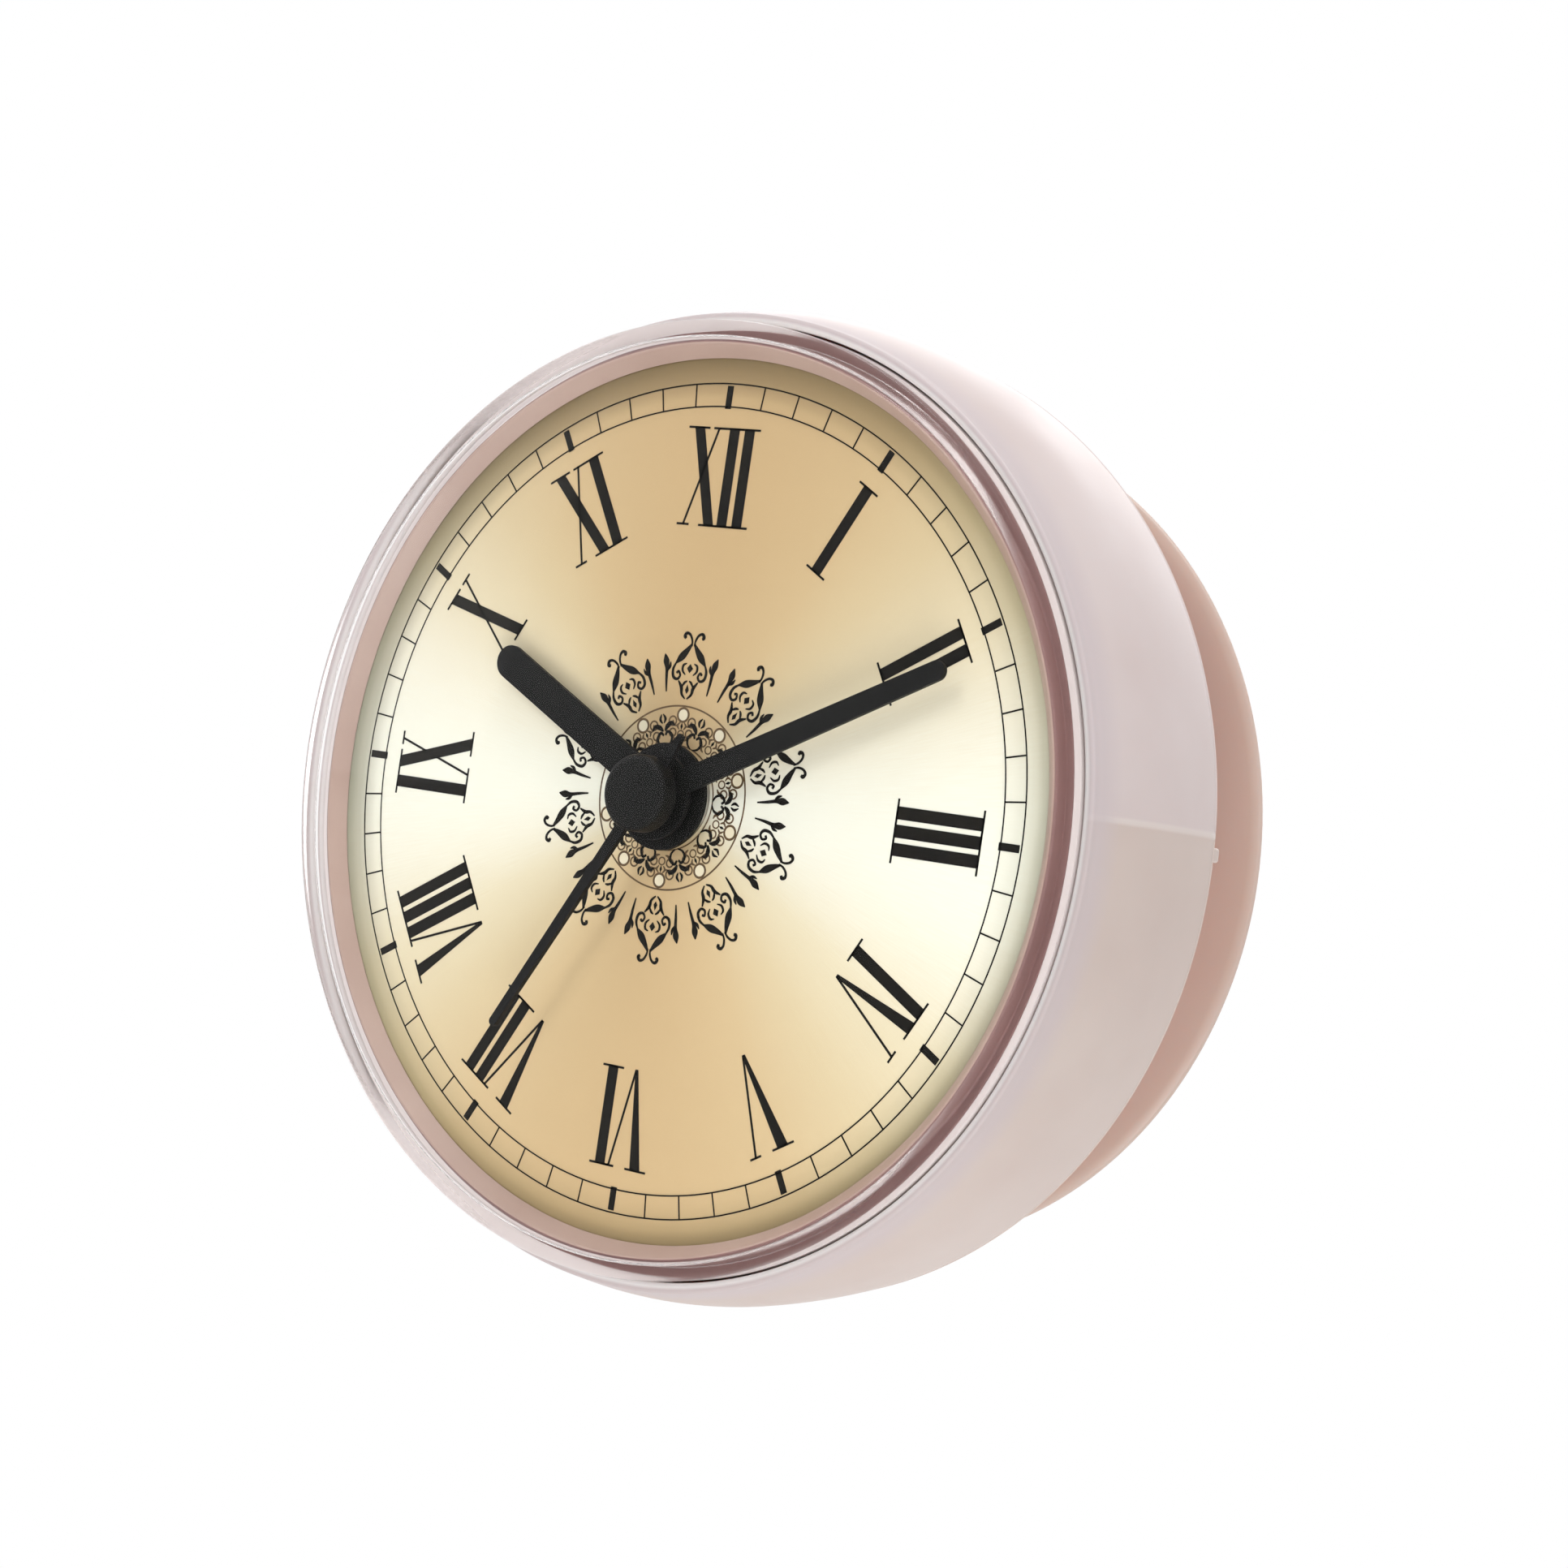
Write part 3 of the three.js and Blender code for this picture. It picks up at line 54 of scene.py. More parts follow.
CASE_FRONT, CASE_FLOOR, FLANGE_BACK, CASE_BACK = -27.4, -26.2, -25.0, -17.5
FLANGE_RADIUS, CASE_RADIUS, CASE_BORE, COVER_BORE, SEAL_SEAT = 31.972, 31.272, 28.172, 29.772, -19.7
COVER_RADIUS, COVER_FRONT = 29.572, -18.9
SHELL_MOUTH, SHELL_LEDGE, SHELL_FLOOR, SHELL_BACK = -28.2, -24.0, -15.2, -13.4
SHELL_BORE, SHELL_INNER, SHELL_HOLE, SHELL_WIDEST, SHELL_REAR = 33.172, 31.572, 6.2, 34.97, 34.5
MOUTH_BORE = 33.02
HATCH = (0.0, -18.972)
KNOB = (5.889, -3.4)
HATCH_RADIUS, NOTCH_REACH, DOOR_RADIUS, LUG_REACH = 7.5, 8.7, 7.3, 8.3
SCREW_CIRCLE = 24.972
PAST = 1.0  # by which a cutting body stands past the face that it cuts


# Geometry helpers.

ON_AXIS = 1e-6
NEARLY_HALF = 0.49  # of an edge, so that the fillets at its two ends never meet


def linear(*rgb):
    """A colour written as 0 to 255 display values, as the shader wants it."""
    def one(c):
        c = c / 255
        return c / 12.92 if c <= 0.04045 else ((c + 0.055) / 1.055) ** 2.4
    return tuple(one(c) for c in rgb) + (1.0,)


def add_object(name, bm, material, body, replaces=(), sharp=32):
    """Turns a bmesh in millimetres into a piece that rides on a body."""
    bmesh.ops.recalc_face_normals(bm, faces=bm.faces)
    bm.transform(Matrix.Scale(MM, 4))
    for face in bm.faces:
        face.smooth = True
    for edge in bm.edges:
        if len(edge.link_faces) == 2 and edge.calc_face_angle(0) > math.radians(sharp):
            edge.smooth = False
    mesh = bpy.data.meshes.new(name)
    bm.to_mesh(mesh)
    bm.free()
    piece = bpy.data.objects.new(name, mesh)
    scene.collection.objects.link(piece)
    mesh.materials.append(material)
    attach(piece, body)
    if replaces:
        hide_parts(*replaces)
    return piece


def rounded(corners, steps=6):
    """A profile of (r, y) points from corners (r, y) or (r, y, fillet radius)."""
    out = []
    count = len(corners)
    for i, corner in enumerate(corners):
        if len(corner) == 2 or corner[2] == 0:
            out.append((corner[0], corner[1]))
            continue
        here = Vector(corner[:2])
        before = Vector(corners[i - 1][:2]) - here
        after = Vector(corners[(i + 1) % count][:2]) - here
        half = before.angle(after) / 2
        reach = min(corner[2] / math.tan(half), before.length * NEARLY_HALF, after.length * NEARLY_HALF)
        radius = reach * math.tan(half)
        middle = here + (before.normalized() + after.normalized()).normalized() * (radius / math.sin(half))
        start = here + before.normalized() * reach - middle
        end = here + after.normalized() * reach - middle
        sweep = start.angle_signed(end)
        for k in range(steps + 1):
            turned = start.copy()
            turned.rotate(Matrix.Rotation(-sweep * k / steps, 2))
            out.append(tuple(middle + turned))
    return out


def arc(centre, radius, start, end, steps):
    """Points (r, y) on an arc, angles in degrees."""
    out = []
    for k in range(steps + 1):
        a = math.radians(start + (end - start) * k / steps)
        out.append((centre[0] + radius * math.cos(a), centre[1] + radius * math.sin(a)))
    return out


def smooth_curve(points, steps=8):
    """Catmull-Rom points through the given ones."""
    p = [Vector(q) for q in points]
    p = [p[0] * 2 - p[1]] + p + [p[-1] * 2 - p[-2]]
    out = []
    for i in range(1, len(p) - 2):
        a, b, c, d = p[i - 1:i + 3]
        for k in range(steps):
            t = k / steps
            out.append(tuple(0.5 * (2 * b + (c - a) * t + (2 * a - 5 * b + 4 * c - d) * t * t
                                    + (3 * b - a - 3 * c + d) * t ** 3)))
    out.append(tuple(p[-2]))
    return out


def turned(bm, profile, sides=160, centre=(0.0, 0.0), shape=None):
    """Adds a body turned about the y axis through centre (x, z). A profile that starts or ends
    off the axis closes on itself. shape(r, y, angle) may change the radius."""
    closed = profile[0][0] > ON_AXIS or profile[-1][0] > ON_AXIS
    rings = []
    for r, y in profile:
        if r <= ON_AXIS:
            rings.append([bm.verts.new((centre[0], y, centre[1]))])
            continue
        ring = []
        for k in range(sides):
            a = 2 * math.pi * k / sides
            q = shape(r, y, a) if shape else r
            ring.append(bm.verts.new((centre[0] + q * math.cos(a), y, centre[1] + q * math.sin(a))))
        rings.append(ring)
    pairs = list(zip(rings, rings[1:]))
    if closed:
        pairs.append((rings[-1], rings[0]))
    for one, two in pairs:
        for k in range(sides):
            j = (k + 1) % sides
            loop = []
            for v in (one[k % len(one)], one[j % len(one)], two[j % len(two)], two[k % len(two)]):
                if v not in loop:
                    loop.append(v)
            if len(loop) > 2:
                bm.faces.new(loop)


def prism(bm, outline, back, front):
    """Adds a flat plate with this outline of (x, z) points, from y = back to y = front."""
    low = [bm.verts.new((x, back, z)) for x, z in outline]
    high = [bm.verts.new((x, front, z)) for x, z in outline]
    bm.faces.new(low)
    bm.faces.new(high)
    count = len(outline)
    for k in range(count):
        j = (k + 1) % count
        bm.faces.new((low[k], low[j], high[j], high[k]))


def combined(bm, other, operation):
    """Cuts or joins one closed bmesh with another and returns the result."""
    objects = []
    for part in (bm, other):
        bmesh.ops.recalc_face_normals(part, faces=part.faces)
        mesh = bpy.data.meshes.new("scratch")
        part.to_mesh(mesh)
        part.free()
        item = bpy.data.objects.new("scratch", mesh)
        scene.collection.objects.link(item)
        objects.append(item)
    modifier = objects[0].modifiers.new("boolean", "BOOLEAN")
    modifier.operation = operation
    modifier.solver = "EXACT"
    modifier.object = objects[1]
    graph = bpy.context.evaluated_depsgraph_get()
    made = objects[0].evaluated_get(graph).to_mesh()
    out = bmesh.new()
    out.from_mesh(made)
    for item in objects:
        mesh = item.data
        bpy.data.objects.remove(item)
        bpy.data.meshes.remove(mesh)
    return out


def cutter(profile, sides=96, centre=(0.0, 0.0)):
    """A closed turned body for cutting."""
    bm = bmesh.new()
    turned(bm, profile, sides, centre)
    return bm


def rod(radius, back, front, centre=(0.0, 0.0), sides=96):
    """A closed round body from y = back to y = front."""
    return cutter([(0, front), (radius, front), (radius, back), (0, back)], sides, centre)


def plate(outline, back, front):
    """A closed flat body with this outline of (x, z) points."""
    bm = bmesh.new()
    prism(bm, outline, back, front)
    return bm


def bevelled(piece, width, segments=3, angle=40):
    """Rounds a piece's sharp edges by this many millimetres."""
    modifier = piece.modifiers.new("bevel", "BEVEL")
    modifier.width = width * MM
    modifier.segments = segments
    modifier.limit_method = "ANGLE"
    modifier.angle_limit = math.radians(angle)
    modifier.harden_normals = True


def clockwise(x, z, degrees):
    """A point turned clockwise about the dial's centre, seen from the front."""
    a = math.radians(degrees)
    return (x * math.cos(a) + z * math.sin(a), -x * math.sin(a) + z * math.cos(a))


# Materials.

class Shader:
    """A Principled material with small helpers for its node tree."""

    def __init__(self, name, **sockets):
        self.material = bpy.data.materials.new(name)
        self.material.use_nodes = True
        self.nodes = self.material.node_tree.nodes
        self.links = self.material.node_tree.links
        self.bsdf = self.nodes["Principled BSDF"]
        for key, value in sockets.items():
            self.bsdf.inputs[key.replace("_", " ")].default_value = value

    def node(self, kind, inputs=None, **settings):
        made = self.nodes.new(kind)
        for key, value in settings.items():
            setattr(made, key, value)
        for key, value in (inputs or {}).items():
            if isinstance(value, bpy.types.NodeSocket):
                self.links.new(value, made.inputs[key])
            else:
                made.inputs[key].default_value = value
        return made

    def place(self):
        return self.node("ShaderNodeTexCoord").outputs["Object"]

    def math(self, operation, a, b=None):
        inputs = {0: a} if b is None else {0: a, 1: b}
        return self.node("ShaderNodeMath", inputs, operation=operation).outputs[0]

    def noise(self, scale, detail=3.0, stretch=None):
        where = self.place()
        if stretch:
            where = self.node("ShaderNodeMapping", {"Vector": where, "Scale": stretch}).outputs[0]
        made = self.node("ShaderNodeTexNoise", {"Vector": where, "Scale": scale, "Detail": detail})
        return made.outputs["Fac"]

    def spread(self, value, low, high, start=0.3, end=0.7):
        """Low where the value is at the start and high where it is at the end."""
        made = self.node("ShaderNodeMapRange", {"Value": value, "From Min": start, "From Max": end,
                                                "To Min": low, "To Max": high})
        return made.outputs[0]

    def ramp(self, value, stops):
        made = self.node("ShaderNodeValToRGB", {"Fac": value})
        band = made.color_ramp
        while len(band.elements) < len(stops):
            band.elements.new(0.5)
        for element, (position, colour) in zip(band.elements, stops):
            element.position = position
            element.color = colour
        return made.outputs["Color"]

    def rise(self, value, span, share=1.0):
        """Nothing at the span's first place and this share at its last, in millimetres."""
        return self.spread(value, 0.0, share, span[0] * MM, span[1] * MM)

    def fade(self, value, span, share=1.0):
        """This share at the span's first place and nothing at its last, in millimetres."""
        return self.spread(value, share, 0.0, span[0] * MM, span[1] * MM)

    def radius(self, x, z):
        """Distance from the clock's axis."""
        squares = self.math("MULTIPLY", x, x), self.math("MULTIPLY", z, z)
        return self.math("SQRT", self.math("ADD", *squares))

    def mix(self, share, one, two, blend="MIX"):
        """Colour one, with this share of colour two over it. A Mix node has several sockets of each name,
        so the colour's go by number."""
        made = self.node("ShaderNodeMix", None, data_type="RGBA", blend_type=blend)
        for place, value in ((0, share), (6, one), (7, two)):
            if isinstance(value, bpy.types.NodeSocket):
                self.links.new(value, made.inputs[place])
            else:
                made.inputs[place].default_value = value
        return made.outputs[2]

    def set(self, name, socket):
        self.links.new(socket, self.bsdf.inputs[name])

    def bump(self, height, strength, distance):
        made = self.node("ShaderNodeBump", {"Height": height, "Strength": strength,
                                            "Distance": distance * MM})
        self.set("Normal", made.outputs["Normal"])


GLOSS_SCALE = 2.3  # gloss changes over smaller patches than colour


def moulded(name, one, two, roughness, grain=0.02, scale=180.0, fine=2600.0, stretch=None, **sockets):
    """Plastic, rubber or metal: slow colour drift, uneven gloss and a fine grain."""
    shader = Shader(name, **sockets)
    drift = shader.noise(scale, 4.0, stretch)
    shader.set("Base Color", shader.ramp(drift, [(0.35, linear(*one)), (0.65, linear(*two))]))
    gloss = shader.noise(scale * GLOSS_SCALE, 3.0, stretch)
    shader.set("Roughness", shader.spread(gloss, *roughness))
    shader.bump(shader.noise(fine, 2.0, stretch), 0.25, grain)
    return shader.material


case_pink = moulded("case_pink", (124, 90, 87), (134, 99, 95), (0.42, 0.5), 0.02, 90.0)
skirt_pale = moulded("skirt_pale", (238, 228, 226), (244, 235, 233), (0.4, 0.5), 0.01, 90.0)
seal_mauve = moulded("seal_mauve", (146, 110, 106), (156, 119, 115), (0.5, 0.6), 0.01, 150.0)
seal_salmon = moulded("seal_salmon", (177, 150, 138), (184, 158, 146), (0.4, 0.5), 0.01, 150.0)
cover_pink = moulded("cover_pink", (196, 172, 168), (204, 181, 176), (0.4, 0.5), 0.03, 80.0)
hand_black = moulded("hand_black", (9, 9, 9), (13, 13, 12), (0.45, 0.55), 0.002, 260.0, 900.0,
                     Specular_IOR_Level=0.14)
ink_black = moulded("ink_black", (14, 12, 9), (22, 19, 14), (0.5, 0.62), 0.001, 400.0, 900.0,
                    Specular_IOR_Level=0.1)
ink_bronze = moulded("ink_bronze", (84, 62, 32), (102, 76, 42), (0.5, 0.62), 0.001, 400.0, 900.0)
ink_cream = moulded("ink_cream", (240, 228, 196), (245, 235, 206), (0.5, 0.62), 0.001, 400.0, 900.0)
natural_plastic = moulded("natural_plastic", (226, 220, 205), (234, 229, 216), (0.4, 0.5), 0.01, 220.0,
                          Subsurface_Weight=0.1, Subsurface_Scale=0.001)
brass = moulded("brass", (196, 160, 84), (208, 174, 98), (0.25, 0.38), 0.004, 300.0, Metallic=1.0)
steel = moulded("steel", (184, 186, 190), (202, 204, 207), (0.22, 0.36), 0.004, 320.0,
                stretch=(1.0, 6.0, 1.0), Metallic=1.0)
magnet = moulded("magnet", (70, 70, 73), (86, 86, 90), (0.35, 0.5), 0.004, 500.0, Metallic=0.8)
chip_black = moulded("chip_black", (18, 18, 19), (27, 27, 29), (0.3, 0.45), 0.01, 500.0)


SEAM_TURN = math.radians(4.5)
# Spans in millimetres of the shell's painted light: shade on the lower half, a highlight along the seam, a
# reflection tint round the mouth, and light on the mouth's inner rounding.
HALF_SHADE_BLEND, SEAM_HIGHLIGHT = (-0.3, 0.3), (0.1, 0.3)
MOUTH_REFLECTION = (-27.2, -25.6)
LIT_LIP_RADII, LIT_LIP_PLACES = (33.3, 33.5), (-27.5, -26.5)


def shell_material():
    """Pink with painted light: painted shade on the lower mould half, a painted highlight in a pale line
    along the seam, a cooler painted reflection tint round the mouth, and painted light that makes the
    mouth's inner rounding pale.
    """
    shader = Shader("shell_pink", Subsurface_Weight=0.12, Subsurface_Scale=0.004,
                    Subsurface_Radius=(1.0, 0.6, 0.5), Specular_IOR_Level=0.42)
    split = shader.node("ShaderNodeSeparateXYZ", {"Vector": shader.place()})
    height = shader.math("SUBTRACT", shader.math("MULTIPLY", split.outputs["Z"], math.cos(SEAM_TURN)),
                         shader.math("MULTIPLY", split.outputs["X"], math.sin(SEAM_TURN)))
    drift = shader.noise(60.0, 4.0)
    # Painted shade: the lower half is darker and warmer than the upper.
    low = shader.ramp(drift, [(0.35, linear(209, 191, 183)), (0.65, linear(216, 200, 192))])
    high = shader.ramp(drift, [(0.35, linear(214, 198, 195)), (0.65, linear(221, 207, 205))])
    lower_half_shaded = shader.mix(shader.rise(height, HALF_SHADE_BLEND), low, high)
    # Painted highlight: a pale line along the seam.
    line = shader.fade(shader.math("ABSOLUTE", height), SEAM_HIGHLIGHT, 0.5)
    seam_highlighted = shader.mix(line, lower_half_shaded, linear(236, 225, 219))
    # Painted reflection: a cooler tint round the mouth.
    mouth = shader.fade(split.outputs["Y"], MOUTH_REFLECTION, 0.7)
    mouth_reflected = shader.mix(mouth, seam_highlighted, linear(208, 194, 196))
    # Painted light: the mouth's inner rounding is made pale.
    radius = shader.radius(split.outputs["X"], split.outputs["Z"])
    lip_light = shader.math("MULTIPLY", shader.fade(radius, LIT_LIP_RADII),
                      shader.fade(split.outputs["Y"], LIT_LIP_PLACES))
    shader.set("Base Color", shader.mix(lip_light, mouth_reflected, linear(240, 233, 231)))
    shader.set("Roughness", shader.spread(shader.noise(138.0), 0.38, 0.46))
    shader.bump(shader.noise(2600.0, 2.0), 0.25, 0.012)
    return shader.material


# Span along the axis over which the cup's painted shade, deep under the shell, turns into painted light at
# its thin rim.
CUP_SHADE_SPAN = (-12.0, -0.5)


def cup_material():
    """Soft rubber with painted shade and painted light: its colour is darker deep under the shell and paler
    towards its thin rim, where more light comes through.
    """
    shader = Shader("cup_salmon", Subsurface_Weight=0.35, Subsurface_Scale=0.006,
                    Subsurface_Radius=(1.0, 0.55, 0.42), Specular_IOR_Level=0.45)
    drift = shader.noise(70.0, 3.0)
    depth = shader.node("ShaderNodeSeparateXYZ", {"Vector": shader.place()}).outputs["Y"]
    # Painted shade and light: darker towards the shell and paler towards the rim, with a random drift.
    shade_and_drift = shader.math("ADD", shader.rise(depth, CUP_SHADE_SPAN), shader.spread(drift, -0.04, 0.04))
    shader.set("Base Color", shader.ramp(shade_and_drift, [
        (0.0, linear(184, 143, 126)), (0.55, linear(197, 161, 145)), (1.0, linear(204, 181, 171))]))
    shader.set("Roughness", shader.spread(shader.noise(160.0), 0.34, 0.42))
    shader.bump(shader.noise(900.0, 2.0), 0.2, 0.01)
    return shader.material


# Spans in millimetres of the dial's painted shade over its upper part and round its rim, and of its painted
# rim shadow.
UPPER_SHADE_SPAN = (-6.0, 18.0)
RIM_SHADE_SPAN, RIM_SHADOW_SPAN = (26.5, 30.5), (27.7, 29.2)
RAY_TURNS, RAY_LENGTHS = 40.0, 60.0
NEVER_ZERO = 1e-9


def dial_material():
    """Gold with fine rays. Its colour holds a painted sheen, pale towards three and nine and tan towards
    six, painted shade that makes it a little darker towards twelve, and a painted shadow round the rim,
    darkest from nine to twelve."""
    shader = Shader("dial_gold", Metallic=0.0, Specular_IOR_Level=0.3)
    split = shader.node("ShaderNodeSeparateXYZ", {"Vector": shader.place()})
    x, z = split.outputs["X"], split.outputs["Z"]
    xx = shader.math("MULTIPLY", x, x)
    zz = shader.math("MULTIPLY", z, z)
    whole = shader.math("ADD", shader.math("ADD", xx, zz), NEVER_ZERO)
    double = shader.math("DIVIDE", shader.math("SUBTRACT", xx, zz), whole)
    angle = shader.math("ARCTAN2", z, x)
    radius = shader.math("SQRT", whole)
    polar = shader.node("ShaderNodeCombineXYZ", {
        "X": shader.math("MULTIPLY", angle, RAY_TURNS),
        "Y": shader.math("MULTIPLY", radius, RAY_LENGTHS)}).outputs[0]
    rays = shader.node("ShaderNodeTexNoise", {"Vector": polar, "Scale": 6.0, "Detail": 4.0}).outputs["Fac"]
    # Painted sheen: the colour is pale towards three and nine and tan towards six and twelve, as brushed
    # gold looks in the light.
    sheen_tone = shader.math("ADD", shader.spread(double, 0.0, 1.0, -1.0, 1.0), shader.spread(rays, -0.02, 0.02))
    gold = shader.ramp(sheen_tone, [
        (0.0, linear(212, 183, 137)), (0.25, linear(219, 193, 148)), (0.5, linear(227, 208, 167)),
        (0.75, linear(237, 225, 192)), (0.93, linear(249, 245, 225)), (1.0, linear(252, 252, 236))])
    # Painted shade: the upper part of the dial is made darker.
    gold = shader.mix(shader.rise(z, UPPER_SHADE_SPAN), gold, (0.88, 0.86, 0.83, 1.0), "MULTIPLY")
    # Painted shade: the colour darkens towards the rim, where the ring shades the dial.
    rim = shader.ramp(shader.rise(radius, RIM_SHADE_SPAN), [
        (0.0, (1.0, 1.0, 1.0, 1.0)), (0.125, (0.97, 0.97, 0.965, 1.0)),
        (0.325, (0.93, 0.93, 0.92, 1.0)), (0.45, (0.875, 0.875, 0.86, 1.0)),
        (0.6, (0.82, 0.825, 0.80, 1.0)), (0.75, (0.75, 0.755, 0.72, 1.0)),
        (0.875, (0.63, 0.64, 0.59, 1.0)), (1.0, (0.56, 0.57, 0.52, 1.0))])
    rim_shaded = shader.mix(1.0, gold, rim, "MULTIPLY")
    # Painted shadow: the rim darkens further from nine to twelve, where the ring's shadow falls.
    lean = shader.math("DIVIDE", shader.math("SUBTRACT", z, x), radius)
    rim_shadow_share = shader.math("MULTIPLY", shader.spread(lean, 0.0, 1.0, -0.1, 0.9),
                         shader.rise(radius, RIM_SHADOW_SPAN))
    shader.set("Base Color", shader.mix(rim_shadow_share, rim_shaded, (0.70, 0.69, 0.66, 1.0), "MULTIPLY"))
    shader.set("Roughness", shader.spread(rays, 0.34, 0.46))
    shader.bump(rays, 0.1, 0.004)
    return shader.material


WALL_RADII = (31.2, 31.8)
GRAZING = (0.5, 0.56)  # facing values from which the window's faces would throw light back inside


def lens_material():
    """Clear plastic: a polished window, very slightly uneven, and a satin, faintly pink side wall."""
    shader = Shader("clear_plastic", IOR=1.11, Transmission_Weight=1.0)
    split = shader.node("ShaderNodeSeparateXYZ", {"Vector": shader.place()})
    wall = shader.rise(shader.radius(split.outputs["X"], split.outputs["Z"]), WALL_RADII)
    shader.set("Base Color", shader.mix(wall, (1.0, 1.0, 1.0, 1.0), (1.0, 0.98, 0.975, 1.0)))
    # Light that both faces of the window would keep inside goes straight out, so the edge stays clear.
    inner = shader.node("ShaderNodeNewGeometry").outputs["Backfacing"]
    facing = shader.node("ShaderNodeLayerWeight", {"Blend": 0.5}).outputs["Facing"]
    kept = shader.math("MULTIPLY", inner, shader.spread(facing, 0.0, 1.0, *GRAZING))
    trapped = shader.math("MULTIPLY", kept, shader.math("SUBTRACT", 1.0, wall))
    shader.set("Alpha", shader.math("SUBTRACT", 1.0, trapped))
    wave = shader.spread(shader.noise(120.0, 2.0), 0.0, 0.012)
    shader.set("Roughness", shader.math("ADD", wave, shader.math("MULTIPLY", wall, 0.16)))
    shader.bump(shader.noise(60.0, 1.0), 0.05, 0.004)
    return shader.material


def copper_material():
    """Turns of enamelled wire side by side."""
    shader = Shader("copper_wire", Metallic=0.9)
    bands = shader.node("ShaderNodeTexWave", {"Vector": shader.place(), "Scale": 900.0, "Distortion": 0.6,
                                              "Detail": 2.0}, bands_direction="Z").outputs["Fac"]
    shader.set("Base Color", shader.ramp(bands, [(0.1, linear(120, 62, 34)), (0.7, linear(196, 118, 74))]))
    shader.set("Roughness", shader.spread(bands, 0.42, 0.28, 0.0, 1.0))
    shader.bump(bands, 0.6, 0.02)
    return shader.material


def board_material():
    """Solder mask with raised tracks under it."""
    shader = Shader("board_green")
    tracks = shader.node("ShaderNodeTexBrick", {"Vector": shader.node(
        "ShaderNodeMapping", {"Vector": shader.place(), "Rotation": (math.pi / 2, 0.0, 0.0)}).outputs[0],
        "Scale": 500.0, "Mortar Size": 0.06, "Color1": linear(24, 84, 48), "Color2": linear(30, 96, 54),
        "Mortar": linear(58, 132, 78)})
    shader.set("Base Color", tracks.outputs["Color"])
    shader.set("Roughness", shader.spread(shader.noise(300.0), 0.3, 0.42))
    shader.bump(tracks.outputs["Fac"], 0.4, 0.01)
    return shader.material


shell_pink = shell_material()
cup_salmon = cup_material()
dial_gold = dial_material()
clear_plastic = lens_material()
copper_wire = copper_material()
board_green = board_material()


# Lens: domed window, rounded shoulder and upright wall, clear, and a thin frosted skirt with its clip bead.

def dome(edge, apex, radius, corner):
    """A dome's profile (r, y) from its middle, through a rounded shoulder, to the wall at this radius."""
    middle = apex + radius
    reach = math.sqrt((radius - corner) ** 2 - (edge - corner) ** 2)
    tilt = math.degrees(math.atan2(edge - corner, reach))
    return (arc((0.0, middle), radius, -90, tilt - 90, 24)
            + arc((edge - corner, middle - reach), corner, tilt - 90, 0, 20)[1:])


BEAD_LENGTH, BEAD_SLOPE = 0.6, 0.2
FROST_GAP = 0.005  # keeps the pale skirt's face off the clear wall's
lens_bm = bmesh.new()
outside = dome(LENS_RADIUS, LENS_APEX, DOME_RADIUS, CORNER)
inside = dome(LENS_BORE, LENS_APEX + LENS_WALL, DOME_RADIUS - LENS_WALL, INNER_CORNER)
foot = rounded([inside[-1], (LENS_BORE, LENS_FOOT, 0.06), (SKIRT_BORE, LENS_FOOT, 0.04),
                (SKIRT_BORE, FROSTED)])
profile = [(0.0, inside[0][1])] + inside[1:-1] + foot
profile += [(LENS_RADIUS, FROSTED)] + outside[:0:-1] + [(0.0, LENS_APEX)]
turned(lens_bm, profile, 192)
lens_cap = add_object("lens_cap", lens_bm, clear_plastic, "module", ["lens"], sharp=50)
lens_cap.visible_shadow = False
skirt_bm = bmesh.new()
turned(skirt_bm, rounded([
    (SKIRT_BORE, FROSTED + FROST_GAP), (LENS_RADIUS, FROSTED + FROST_GAP), (LENS_RADIUS, SKIRT_BACK, 0.15),
    (BEAD_BORE, SKIRT_BACK, 0.1), (BEAD_BORE, SKIRT_BACK - BEAD_LENGTH, 0.12),
    (SKIRT_BORE, SKIRT_BACK - BEAD_LENGTH - BEAD_SLOPE, 0.1)]), 192)
add_object("lens_skirt", skirt_bm, skirt_pale, "module", ["lens"], sharp=50)

# Gasket, dial and case. The pressed gasket swells into the corner under the lens.
SWOLLEN_FRONT, SWOLLEN_RADIUS = LENS_FOOT + 0.02, SKIRT_BORE - 0.012
RING_SKIN = 0.1  # faces outside the ring's radius less this are the swollen part
gasket_bm = bmesh.new()
turned(gasket_bm, rounded([
    (RING_RADIUS - RING_EDGE, RING_FRONT, 0.1), (RING_RADIUS, RING_FRONT, 0.1),
    (RING_RADIUS, SWOLLEN_FRONT, 0.05), (SWOLLEN_RADIUS, SWOLLEN_FRONT, 0.03),
    (SWOLLEN_RADIUS, GASKET_BACK, 0.1), (GASKET_BORE, GASKET_BACK, 0.05),
    (GASKET_BORE, RING_BACK), (RING_BORE, RING_BACK, 0.04)]), 192)
for face in gasket_bm.faces:
    middle = face.calc_center_median()
    face.material_index = int(math.hypot(middle.x, middle.z) > RING_RADIUS - RING_SKIN)
ring = add_object("lens_seal_ring", gasket_bm, seal_salmon, "module", ["lens_gasket"],
                  sharp=60)
ring.data.materials.append(case_pink)

dial_bm = bmesh.new()
turned(dial_bm, rounded([
    (DIAL_HOLE, DIAL_FRONT, 0.06), (DIAL_RADIUS, DIAL_FRONT, 0.03),
    (DIAL_RADIUS, DIAL_BACK, 0.06), (DIAL_HOLE, DIAL_BACK, 0.06)], 3), 192)
add_object("dial_disc", dial_bm, dial_gold, "module", ["dial"])

CASE_SIDES, SIDES_PER_GROOVE, GROOVE_DEPTH, FLANGE_SKIN = 432, 12, 0.15, 0.3


